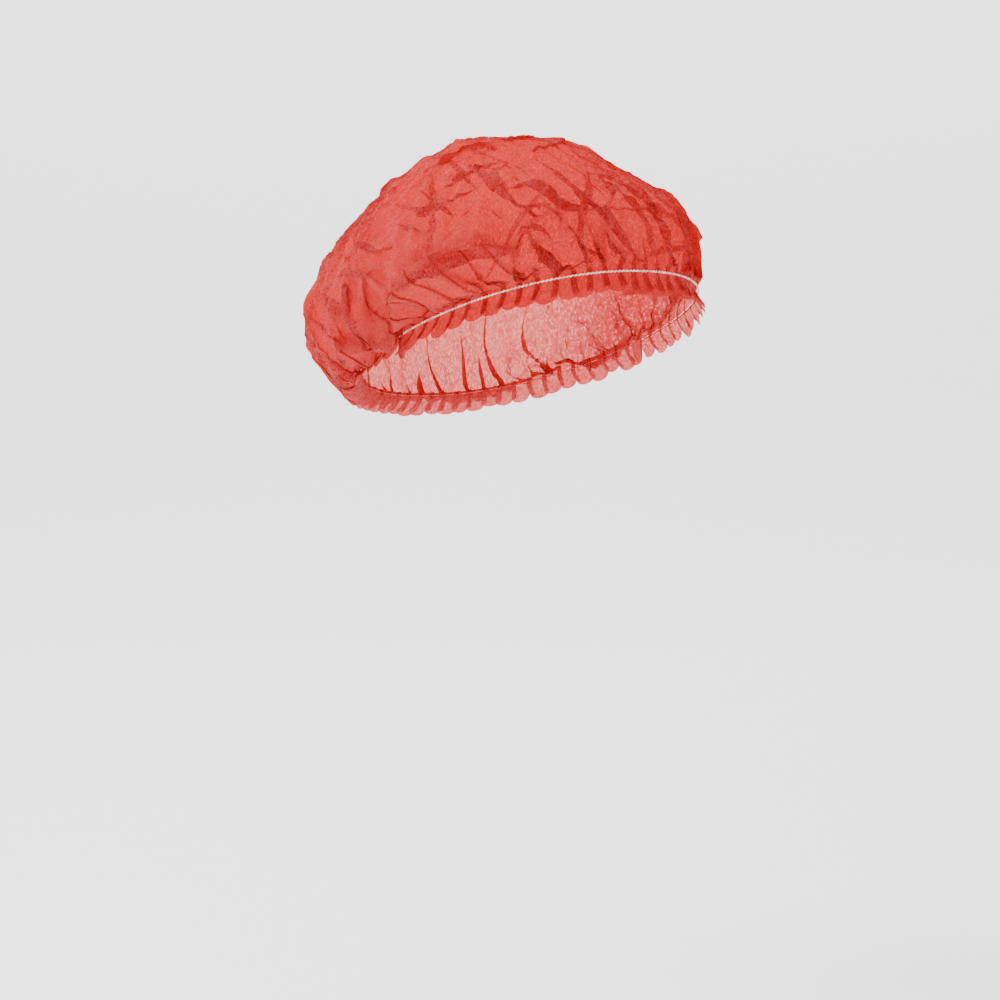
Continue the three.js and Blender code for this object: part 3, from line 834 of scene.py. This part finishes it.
# Spunbond cloth of 13 grams a square metre: random fibres pressed together in a lattice
# of points 1.2 mm apart. Light passes between the fibres and glows through them. Real
# fibres are finer, and are drawn coarser here so that they still show.
BOND_PITCH = 1.2 * MM
BOND_COVER = -0.15
BOND_RELIEF = -0.8
FIBRE_WIDTH = 0.7 * MM
FIBRE_RUN = 3.0
FIBRE_TURNS = ((0.3, 0.1, 0.4), (1.1, 0.7, 2.0), (0.2, 1.4, 1.0))
FIBRE_COVER = (-0.42, 0.40)
CLOUD_SIZE = 5 * MM
CLOUD_COVER = (-0.12, 0.14)
LEAST_COVER = 0.06
MOST_COVER = 0.94
CREASE_SIZE = 13 * MM
CREASE_LAYERS = 0.7
GLOW_SHARE = 0.42


def spunbond(name, cover, deep, bright):
    """Sheer non-woven cloth. Cover is the share that its fibres hide."""
    material, tree = new_material(name)
    uv = add_node(tree, "ShaderNodeUVMap", uv_map="cloth")
    place = add_node(tree, "ShaderNodeTexCoord").outputs["Object"]
    cloud = add_node(tree, "ShaderNodeTexNoise", {
        "Vector": uv,
        "Scale": 1 / (UV_PER_METRE * CLOUD_SIZE),
        "Detail": 3.0,
        "Roughness": 0.6,
    })
    webs = []
    for turn in FIBRE_TURNS:
        webs.append(add_node(tree, "ShaderNodeTexNoise", {
            "Vector": add_node(tree, "ShaderNodeMapping", {
                "Vector": place,
                "Rotation": turn,
                "Scale": (FIBRE_RUN, 1, 1),
            }),
            "Scale": 1 / (FIBRE_WIDTH * FIBRE_RUN),
            "Detail": 2.0,
            "Roughness": 0.6,
            "Distortion": 0.3,
        }))
    two_webs = add_node(tree, "ShaderNodeMath", {0: webs[0], 1: webs[1]}, operation="MAXIMUM")
    fibres = add_node(tree, "ShaderNodeMath", {0: two_webs, 1: webs[2]}, operation="MAXIMUM")
    bonds = add_node(tree, "ShaderNodeTexVoronoi", {
        "Vector": uv,
        "Scale": 1 / (UV_PER_METRE * BOND_PITCH),
        "Randomness": 0.25,
    })
    bond_spot = add_node(tree, "ShaderNodeMapRange", {
        "Value": bonds,
        "From Min": 0.16,
        "From Max": 0.3,
        "To Min": 1,
        "To Max": 0,
    }, interpolation_type="SMOOTHSTEP")

    # How much one layer hides
    fibre_cover = add_node(tree, "ShaderNodeMapRange", {
        "Value": fibres,
        "From Min": 0.44,
        "From Max": 0.72,
        "To Min": cover + FIBRE_COVER[0],
        "To Max": cover + FIBRE_COVER[1],
    })
    cloud_cover = add_node(tree, "ShaderNodeMapRange", {
        "Value": cloud,
        "From Min": 0.3,
        "From Max": 0.7,
        "To Min": CLOUD_COVER[0],
        "To Max": CLOUD_COVER[1],
    })
    summed = add_node(tree, "ShaderNodeMath", {0: fibre_cover, 1: cloud_cover}, operation="ADD")
    thinned = add_node(
        tree, "ShaderNodeMath", {0: bond_spot, 1: BOND_COVER, 2: summed}, operation="MULTIPLY_ADD"
    )
    one_layer = add_node(tree, "ShaderNodeClamp", {
        "Value": thinned,
        "Min": LEAST_COVER,
        "Max": MOST_COVER,
    })

    # Fine creases wander over the cloth, along the contour lines of a noise
    wander = add_node(tree, "ShaderNodeTexNoise", {
        "Vector": place,
        "Scale": 1 / CREASE_SIZE,
        "Detail": 1.5,
        "Distortion": 0.4,
    })
    off_crease = add_node(tree, "ShaderNodeMath", {0: wander, 1: 0.5}, operation="SUBTRACT")
    beside_crease = add_node(tree, "ShaderNodeMath", {0: off_crease}, operation="ABSOLUTE")
    crease = add_node(tree, "ShaderNodeMapRange", {
        "Value": beside_crease,
        "From Min": 0.0,
        "From Max": 0.045,
        "To Min": CREASE_LAYERS,
        "To Max": 0,
    }, interpolation_type="SMOOTHSTEP")

    # Each further layer hides its share of what still shows
    layers = add_node(tree, "ShaderNodeAttribute", attribute_name="layers").outputs["Fac"]
    layers_here = add_node(tree, "ShaderNodeMath", {0: layers, 1: crease}, operation="ADD")
    between = add_node(tree, "ShaderNodeMath", {0: 1.0, 1: one_layer}, operation="SUBTRACT")
    between_all = add_node(tree, "ShaderNodeMath", {0: between, 1: layers_here}, operation="POWER")
    opacity = add_node(tree, "ShaderNodeMath", {0: 1.0, 1: between_all}, operation="SUBTRACT")

    colour = add_node(tree, "ShaderNodeMix", {
        "Factor": cloud,
        "A": linear(deep),
        "B": linear(bright),
    }, data_type="RGBA").outputs["Result"]
    relief = add_node(
        tree, "ShaderNodeMath", {0: bond_spot, 1: BOND_RELIEF, 2: fibres}, operation="MULTIPLY_ADD"
    )
    creased = add_node(tree, "ShaderNodeBump", {
        "Height": beside_crease,
        "Strength": 0.7,
        "Distance": 5 * MM,
    }, invert=True)
    bump = add_node(tree, "ShaderNodeBump", {
        "Height": relief,
        "Strength": 0.8,
        "Distance": 0.25 * MM,
        "Normal": creased,
    })
    cloth = add_node(tree, "ShaderNodeBsdfPrincipled", {
        "Base Color": colour,
        "Roughness": 0.7,
        "IOR": 1.49,
        "Sheen Weight": 0.22,
        "Sheen Roughness": 0.4,
        "Sheen Tint": linear(0xFFA89E),
        "Normal": bump,
    })
    glow = add_node(tree, "ShaderNodeBsdfTranslucent", {"Color": colour, "Normal": bump})
    body = add_node(tree, "ShaderNodeMixShader", {0: GLOW_SHARE, 1: cloth, 2: glow})
    gaps = add_node(tree, "ShaderNodeBsdfTransparent", {"Color": linear(0xEE7C76)})
    surface = add_node(tree, "ShaderNodeMixShader", {0: opacity, 1: gaps, 2: body})
    add_node(tree, "ShaderNodeOutputMaterial", {"Surface": surface})
    return material


# Near the fused ends many folds lie on one another, and in each tuck more cloth is crumpled
# than its shape here doubles over.
BUNCH_REACH = 40 * MM
BUNCH_LAYERS = 4.5
BUNCH_RISE = 0.05
TUCK_LAYERS = 2.2
ears = bag(np.array([-math.pi / 2, math.pi / 2]), np.full(2, BUNCH_RISE))
from_ear = np.linalg.norm(points[:, None] - ears[None], axis=-1).min(axis=1)
bunched = BUNCH_LAYERS * np.exp(-((from_ear / BUNCH_REACH) ** 2))
keep_layers(crown.data, layers_on_edge(crown.data, outward) + bunched + TUCK_LAYERS * folded)
crown.data.materials.append(spunbond("spunbond_polypropylene", 0.47, 0xBA1216, 0xD8282A))
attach(crown, "root")
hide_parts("crown")


# Frills
# The strip's two long edges below the elastic. The pleats lie over each other like
# shingles, each a rounded tongue with its side edge doubled.
FRILL_ROWS = 14
FRILL_GAP = 0.3 * MM
FRONT_FLARE = 3.5 * MM
BACK_FLARE = 8 * MM
FLARE_CURVE = 1.5
FRILL_PLEAT_DEPTH = 2.2 * MM
TONGUE_ROUND = 3.4 * MM
FRILL_DROP = 10.5 * MM
FIRST_TONGUE_PHASE = 0.18
LAST_TONGUE_PHASE = 0.50
EDGE_PHASE = 0.61
TONGUE_CURVE = 0.5
HIDDEN_TONGUE = 0.25
DROPS_UNEVEN = 0.7 * MM
LIFTS_UNEVEN = 0.6 * MM
LEANS_UNEVEN = 0.10

# The same cloth, pressed harder where it was pleated, so that it hides a little more.
pressed_cloth = spunbond("pressed_spunbond_polypropylene", 0.64, 0xBA1216, 0xDA2C2E)


def frill_object(name, first_pleat, seed):
    """One frill over half of the pleats, starting at the pleat that is named."""
    source = np.random.default_rng(seed)
    drops = source.normal(0, DROPS_UNEVEN, PLEATS)
    lifts = source.normal(0, LIFTS_UNEVEN, PLEATS)
    leans = source.normal(0, LEANS_UNEVEN, PLEATS)
    columns = pleat_columns(len(PLEAT_PROFILE))
    half = PLEATS // 2
    inside = columns >= first_pleat + FIRST_TONGUE_PHASE
    inside = inside & (columns <= first_pleat + half - 1 + LAST_TONGUE_PHASE)
    place = columns[inside]
    along, out = pleat_at(place)
    whole = np.floor(place).astype(int) % PLEATS
    phase = place - np.floor(place)
    tongue = np.clip(np.sin(math.pi * np.clip(phase / EDGE_PHASE, 0, 1)), 0, 1) ** TONGUE_CURVE
    tongue = np.where(phase > EDGE_PHASE, HIDDEN_TONGUE, tongue)
    points = []
    outwards = []
    for row in range(FRILL_ROWS):
        drop = row / (FRILL_ROWS - 1)
        heading = pleat_heading(along + leans[whole] * drop**2)
        rim = bag(heading, 0 * heading)
        outward = unit(rim * np.array([1 / half_breadth**2, 1 / half_length**2, 0]))
        flare = FRONT_FLARE + (BACK_FLARE - FRONT_FLARE) * (1 - np.cos(heading)) / 2
        depth = GATHER_DEPTH + (FRILL_PLEAT_DEPTH - GATHER_DEPTH) * drop
        stand = depth * (out - 1) + GATHER_DEPTH + (flare + lifts[whole]) * drop**FLARE_CURVE
        length = FRILL_DROP + drops[whole] - TONGUE_ROUND * (1 - tongue)
        spot = rim + outward * stand[:, None]
        spot[:, 2] -= FRILL_GAP + length * drop
        points.append(spot)
        outwards.append(outward)
    count = len(place)
    faces = [
        (row * count + i, (row + 1) * count + i, (row + 1) * count + i + 1, row * count + i + 1)
        for row in range(FRILL_ROWS - 1)
        for i in range(count - 1)
    ]
    along_cloth = np.tile(place * CLOTH_PER_PLEAT, FRILL_ROWS)
    up_cloth = np.repeat(-np.linspace(0, FRILL_DROP, FRILL_ROWS), count)
    frill = cloth_object(name, np.vstack(points), faces, along_cloth, up_cloth)
    keep_layers(frill.data, layers_on_edge(frill.data, np.vstack(outwards)))
    frill.data.materials.append(pressed_cloth)
    return frill


for name, node, first_pleat, seed in (
    ("front_frill_cloth", "front_frill", 0, 21),
    ("back_frill_cloth", "back_frill", PLEATS // 2, 22),
):
    frill = frill_object(name, first_pleat, seed)
    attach(frill, "root")
    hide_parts(node)


# Elastic
# A thin rubber core wound with pale pink yarn, whose slanted turns stand out from it like
# beads. It lies on the seam, from one fused end to the other.
CORE_RADIUS = 0.26 * MM
TURN_PITCH = 2.0 * MM
TURN_HALF_LENGTH = 0.95 * MM
TURN_RADIUS = 0.45 * MM
TURN_LEAN = math.radians(36)
TURN_SIDES = 8
TURN_RINGS = 6
LEAST_TURN = (0.85, 0.8, 0.8)
MOST_TURN = (1.15, 1.25, 1.25)
THREAD_STANDS_OUT = 1.75 * MM
THREAD_STOPS_SHORT = 3.8 * MM
THREAD_STEPS = 400
YARN_FUZZ = 0.3 * MM
YARN_STAIN = 2.5 * MM


def yarn(name):
    """Pale pink covering yarn with short stray fibres and stains in its grooves."""
    material, tree = new_material(name)
    place = add_node(tree, "ShaderNodeTexCoord").outputs["Object"]
    fuzz = add_node(tree, "ShaderNodeTexNoise", {
        "Vector": place,
        "Scale": 1 / YARN_FUZZ,
        "Detail": 2.0,
    })
    patch = add_node(tree, "ShaderNodeTexNoise", {
        "Vector": place,
        "Scale": 1 / YARN_STAIN,
        "Detail": 1.0,
    })
    blend = add_node(
        tree, "ShaderNodeMath", {0: fuzz, 1: 0.5, 2: patch}, operation="MULTIPLY_ADD"
    )
    clean = add_node(tree, "ShaderNodeMapRange", {
        "Value": blend,
        "From Min": 0.5,
        "From Max": 0.85,
    })
    colour = add_node(tree, "ShaderNodeMix", {
        "Factor": clean,
        "A": linear(0xD4584E),
        "B": linear(0xFFEFE6),
    }, data_type="RGBA").outputs["Result"]
    bump = add_node(tree, "ShaderNodeBump", {
        "Height": fuzz,
        "Strength": 0.6,
        "Distance": 0.1 * MM,
    })
    shader = add_node(tree, "ShaderNodeBsdfPrincipled", {
        "Base Color": colour,
        "Roughness": 0.7,
        "IOR": 1.5,
        "Sheen Weight": 0.4,
        "Normal": bump,
    })
    add_node(tree, "ShaderNodeOutputMaterial", {"Surface": shader})
    return material


def winding_tree(material):
    """Geometry Nodes that wind a path's core with turns of yarn."""
    tree = bpy.data.node_groups.new("wound_thread", "GeometryNodeTree")
    tree.interface.new_socket("Path", in_out="INPUT", socket_type="NodeSocketGeometry")
    for label in ("Core Radius", "Turn Pitch", "Turn Half Length", "Turn Radius", "Turn Lean"):
        tree.interface.new_socket(label, in_out="INPUT", socket_type="NodeSocketFloat")
    for label in ("Turn Sides", "Turn Rings", "Seed"):
        tree.interface.new_socket(label, in_out="INPUT", socket_type="NodeSocketInt")
    tree.interface.new_socket("Thread", in_out="OUTPUT", socket_type="NodeSocketGeometry")
    given = add_node(tree, "NodeGroupInput").outputs

    # The core
    path = add_node(tree, "GeometryNodeMeshToCurve", {"Mesh": given["Path"]})
    level = add_node(tree, "GeometryNodeSetCurveNormal", {"Curve": path}, mode="Z_UP")
    even = add_node(tree, "GeometryNodeResampleCurve", {
        "Curve": level,
        "Length": given["Turn Pitch"],
    }, mode="LENGTH")
    ring = add_node(tree, "GeometryNodeCurvePrimitiveCircle", {
        "Resolution": given["Turn Sides"],
        "Radius": given["Core Radius"],
    })
    core = add_node(tree, "GeometryNodeCurveToMesh", {
        "Curve": even,
        "Profile Curve": ring,
        "Fill Caps": True,
    })

    # One turn of yarn, a long bead
    ball = add_node(tree, "GeometryNodeMeshUVSphere", {
        "Segments": given["Turn Sides"],
        "Rings": given["Turn Rings"],
        "Radius": 1.0,
    })
    size = add_node(tree, "ShaderNodeCombineXYZ", {
        "X": given["Turn Half Length"],
        "Y": given["Turn Radius"],
        "Z": given["Turn Radius"],
    })
    bead = add_node(tree, "GeometryNodeTransform", {"Geometry": ball, "Scale": size})

    # The turns, slanted across the path
    away = add_node(tree, "GeometryNodeInputNormal")
    outward = add_node(tree, "FunctionNodeAlignRotationToVector", {"Vector": away}, axis="Z")
    onward = add_node(tree, "GeometryNodeInputTangent")
    aligned = add_node(tree, "FunctionNodeAlignRotationToVector", {
        "Rotation": outward,
        "Vector": onward,
    }, axis="X", pivot_axis="Z")
    slant = add_node(tree, "ShaderNodeCombineXYZ", {"Z": given["Turn Lean"]})
    leaning = add_node(tree, "FunctionNodeRotateRotation", {
        "Rotation": aligned,
        "Rotate By": slant,
    }, rotation_space="LOCAL")
    uneven = add_node(tree, "FunctionNodeRandomValue", {
        "Min": LEAST_TURN,
        "Max": MOST_TURN,
        "Seed": given["Seed"],
    }, data_type="FLOAT_VECTOR")
    turns = add_node(tree, "GeometryNodeInstanceOnPoints", {
        "Points": even,
        "Instance": bead,
        "Rotation": leaning,
        "Scale": uneven,
    })

    whole = add_node(tree, "GeometryNodeJoinGeometry", {"Geometry": core})
    tree.links.new(turns.outputs[0], whole.inputs["Geometry"])
    real = add_node(tree, "GeometryNodeRealizeInstances", {"Geometry": whole})
    smooth = add_node(tree, "GeometryNodeSetShadeSmooth", {"Geometry": real})
    clothed = add_node(tree, "GeometryNodeSetMaterial", {"Geometry": smooth, "Material": material})
    add_node(tree, "NodeGroupOutput", {"Thread": clothed})
    return tree


def wound_thread(name, tree, middle_heading, seed):
    """Thread along the rim, half the way round, as a plain mesh."""
    half_turn = math.pi / 2 - THREAD_STOPS_SHORT / half_length
    heading = middle_heading + np.linspace(-half_turn, half_turn, THREAD_STEPS)
    rim = bag(heading, 0 * heading)
    outward = unit(rim * np.array([1 / half_breadth**2, 1 / half_length**2, 0]))
    route = rim + outward * THREAD_STANDS_OUT
    path_mesh = bpy.data.meshes.new(name + "_path")
    steps = [(i, i + 1) for i in range(len(route) - 1)]
    path_mesh.from_pydata([tuple(p) for p in route], steps, [])
    path_object = bpy.data.objects.new(name + "_path", path_mesh)
    bpy.context.collection.objects.link(path_object)
    winding = path_object.modifiers.new("winding", "NODES")
    winding.node_group = tree
    values = {
        "Core Radius": CORE_RADIUS,
        "Turn Pitch": TURN_PITCH,
        "Turn Half Length": TURN_HALF_LENGTH,
        "Turn Radius": TURN_RADIUS,
        "Turn Lean": TURN_LEAN,
        "Turn Sides": TURN_SIDES,
        "Turn Rings": TURN_RINGS,
        "Seed": seed,
    }
    for socket in tree.interface.items_tree:
        if socket.name in values:
            winding[socket.identifier] = values[socket.name]
    depsgraph = bpy.context.evaluated_depsgraph_get()
    wound = path_object.evaluated_get(depsgraph)
    mesh = bpy.data.meshes.new_from_object(wound, depsgraph=depsgraph)
    path_object.modifiers.remove(winding)
    bpy.data.objects.remove(path_object)
    thread = bpy.data.objects.new(name, mesh)
    bpy.context.collection.objects.link(thread)
    return thread


winding_nodes = winding_tree(yarn("covering_yarn"))
for name, node, middle_heading, seed in (
    ("front_thread", "front_elastic", 0.0, 5),
    ("back_thread", "back_elastic", math.pi, 6),
):
    thread = wound_thread(name, winding_nodes, middle_heading, seed)
    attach(thread, "root")
    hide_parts(node)


# Fused ends
# At each side the strip's pleats are pressed into one stiff tab by heat, ribbed where the
# pleats lie, dotted by the press and cut slantwise to a blunt point at its free end.
END_LAYERS = 7
END_ROWS = 40
END_COLUMNS = 96
END_GROOVE = 0.35 * MM
END_DROP = 12 * MM
END_FLARE = 1.5 * MM
END_SKEW = 1.2 * MM
END_HALF_DEPTH = 1.2 * MM
END_INSET = 0.6 * MM
END_WANDER = 0.5 * MM
END_CORNER_POWER = 0.6
END_THINNING = 0.35
END_NARROWING = 0.12
END_POINT_START = 0.6
END_POINT_NARROWING = 0.66
END_POINT_CURVE = 1.3


def fused_end_object(name, node):
    """Pressed tab as broad as its node's box, a closed skin round its pleated layers."""
    low, high = (np.array(corner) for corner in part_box(node))
    side = 1 if low[0] > 0 else -1
    heading = side * math.pi / 2
    top = bag(np.array([heading]), np.array([0.0]))[0]
    half_width = (high[1] - low[1]) / 2
    angle = np.linspace(0, 2 * math.pi, END_COLUMNS, endpoint=False)
    sine = np.sign(np.sin(angle)) * np.abs(np.sin(angle)) ** END_CORNER_POWER
    cosine = np.sign(np.cos(angle)) * np.abs(np.cos(angle)) ** END_CORNER_POWER
    points = []
    for row in range(END_ROWS):
        drop = row / (END_ROWS - 1)
        pointed = np.clip((drop - END_POINT_START) / (1 - END_POINT_START), 0, 1)
        size = 1 - END_NARROWING * drop - END_POINT_NARROWING * pointed**END_POINT_CURVE
        across = half_width * size * cosine
        ribs = END_GROOVE * np.cos(END_LAYERS * math.pi * across / half_width / max(size, 0.2))
        depth = END_HALF_DEPTH * (0.9 - END_THINNING * drop) * sine
        depth = depth + np.sign(np.sin(angle)) * ribs * (1 - 0.5 * drop)
        flare = END_FLARE * drop**FLARE_CURVE
        wander = END_WANDER * math.sin(5 * drop + heading)
        x = top[0] + side * (depth + flare - END_INSET)
        y = top[1] + across + wander * drop - END_SKEW * pointed
        z = top[2] - (y - top[1]) * RIM_SLOPE - FRILL_GAP - END_DROP * drop
        points.append(np.stack([x, y, z], axis=-1))
    points = np.vstack(points)
    faces = [
        (
            row * END_COLUMNS + i,
            row * END_COLUMNS + (i + 1) % END_COLUMNS,
            (row + 1) * END_COLUMNS + (i + 1) % END_COLUMNS,
            (row + 1) * END_COLUMNS + i,
        )
        for row in range(END_ROWS - 1)
        for i in range(END_COLUMNS)
    ]
    faces.append(tuple(reversed(range(END_COLUMNS))))
    faces.append(tuple((END_ROWS - 1) * END_COLUMNS + i for i in range(END_COLUMNS)))
    along = np.tile(angle / (2 * math.pi) * 4 * half_width, END_ROWS)
    down = np.repeat(np.linspace(0, END_DROP, END_ROWS), END_COLUMNS)
    tab = cloth_object(name, points, faces, along, down)
    shell = bmesh.new()
    shell.from_mesh(tab.data)
    bmesh.ops.recalc_face_normals(shell, faces=shell.faces)
    shell.to_mesh(tab.data)
    shell.free()
    return tab


PRESS_DOT_PITCH = 1.4 * MM
MELT_CLOUD_SIZE = 2 * MM


def fused_cloth(name):
    """Melted polypropylene, darker and glossier where the press has dotted it."""
    material, tree = new_material(name)
    uv = add_node(tree, "ShaderNodeUVMap", uv_map="cloth")
    dots = add_node(tree, "ShaderNodeTexVoronoi", {
        "Vector": uv,
        "Scale": 1 / (UV_PER_METRE * PRESS_DOT_PITCH),
        "Randomness": 0.05,
    })
    dot = add_node(tree, "ShaderNodeMapRange", {
        "Value": dots,
        "From Min": 0.2,
        "From Max": 0.34,
        "To Min": 1,
        "To Max": 0,
    }, interpolation_type="SMOOTHSTEP")
    cloud = add_node(tree, "ShaderNodeTexNoise", {
        "Vector": uv,
        "Scale": 1 / (UV_PER_METRE * MELT_CLOUD_SIZE),
        "Detail": 4.0,
    })
    mottle = add_node(
        tree, "ShaderNodeMath", {0: dot, 1: -0.5, 2: cloud}, operation="MULTIPLY_ADD"
    )
    colour = add_node(tree, "ShaderNodeMix", {
        "Factor": mottle,
        "A": linear(0xB3151A),
        "B": linear(0xEA3A34),
    }, data_type="RGBA").outputs["Result"]
    roughness = add_node(tree, "ShaderNodeMapRange", {"Value": dot, "To Min": 0.6, "To Max": 0.25})
    bump = add_node(tree, "ShaderNodeBump", {
        "Height": mottle,
        "Strength": 0.7,
        "Distance": 0.25 * MM,
    })
    shader = add_node(tree, "ShaderNodeBsdfPrincipled", {
        "Base Color": colour,
        "Roughness": roughness,
        "IOR": 1.49,
        "Normal": bump,
    })
    add_node(tree, "ShaderNodeOutputMaterial", {"Surface": shader})
    return material


melted = fused_cloth("fused_polypropylene")
for name, node in (("right_fused_end", "right_end_weld"), ("left_fused_end", "left_end_weld")):
    fused_end = fused_end_object(name, node)
    fused_end.data.materials.append(melted)
    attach(fused_end, "root")
    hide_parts(node)


# Floor and backdrop
# A sweep of matte white paper, flat under the cap and curving up behind it, without an
# edge in the picture. It glows a little, as paper does under strong studio lights.
FLOOR_Z = -0.42
SWEEP_FRONT = -14.0
SWEEP_START = 1.4
SWEEP_RADIUS = 1.0
SWEEP_HALF_WIDTH = 9.0
SWEEP_HEIGHT = 3.2
SWEEP_STEPS = 12
profile = [(SWEEP_FRONT, FLOOR_Z), (SWEEP_START, FLOOR_Z)]
for step in range(1, SWEEP_STEPS + 1):
    angle = step / SWEEP_STEPS * math.pi / 2
    profile.append((
        SWEEP_START + SWEEP_RADIUS * math.sin(angle),
        FLOOR_Z + SWEEP_RADIUS * (1 - math.cos(angle)),
    ))
profile.append((SWEEP_START + SWEEP_RADIUS, FLOOR_Z + SWEEP_HEIGHT))
ahead = Vector((-toward_camera.x, -toward_camera.y, 0)).normalized()
aside = Vector((ahead.y, -ahead.x, 0))
sweep_points = []
for run, height in profile:
    for side in (-1, 1):
        level_point = ahead * run + aside * side * SWEEP_HALF_WIDTH
        sweep_points.append(level_point + Vector((0, 0, height)))
sweep_faces = [(2 * i, 2 * i + 1, 2 * i + 3, 2 * i + 2) for i in range(len(profile) - 1)]
sweep_mesh = bpy.data.meshes.new("sweep")
sweep_mesh.from_pydata(sweep_points, [], sweep_faces)
sweep_mesh.shade_smooth()
sweep = bpy.data.objects.new("sweep", sweep_mesh)
bpy.context.collection.objects.link(sweep)
paper, paper_tree = new_material("white_paper")
paper_shader = add_node(paper_tree, "ShaderNodeBsdfPrincipled", {
    "Base Color": linear(0xF7F7F7),
    "Roughness": 0.9,
    "Emission Color": (1.0, 1.0, 1.0, 1.0),
    "Emission Strength": 1.45,
})
add_node(paper_tree, "ShaderNodeOutputMaterial", {"Surface": paper_shader})
sweep_mesh.materials.append(paper)


# Lights
# Large soft sources: a key high on the camera's left, a fill on its right and one behind
# that glows through the cloth. The white surroundings keep the background pale.
LIGHTS = (
    # name, azimuth and elevation in degrees, distance and size in metres, watts
    ("key", -100, 48, 1.6, 0.5, 32),
    ("fill", 15, 20, 1.8, 1.2, 4),
    ("behind", 150, 40, 1.6, 1.0, 6),
)
SURROUNDINGS_STRENGTH = 0.42
for name, azimuth, elevation, distance, size, power in LIGHTS:
    azimuth = math.radians(azimuth)
    elevation = math.radians(elevation)
    data = bpy.data.lights.new(name, "AREA")
    data.size = size
    data.energy = power
    light = bpy.data.objects.new(name, data)
    away = Vector((
        math.sin(azimuth) * math.cos(elevation),
        -math.cos(azimuth) * math.cos(elevation),
        math.sin(elevation),
    ))
    light.location = away * distance
    light.rotation_euler = away.to_track_quat("Z", "Y").to_euler()
    bpy.context.collection.objects.link(light)

world = bpy.data.worlds.new("studio")
world.use_nodes = True
surroundings = world.node_tree.nodes["Background"]
surroundings.inputs["Color"].default_value = (1, 1, 1, 1)
surroundings.inputs["Strength"].default_value = SURROUNDINGS_STRENGTH
bpy.context.scene.world = world
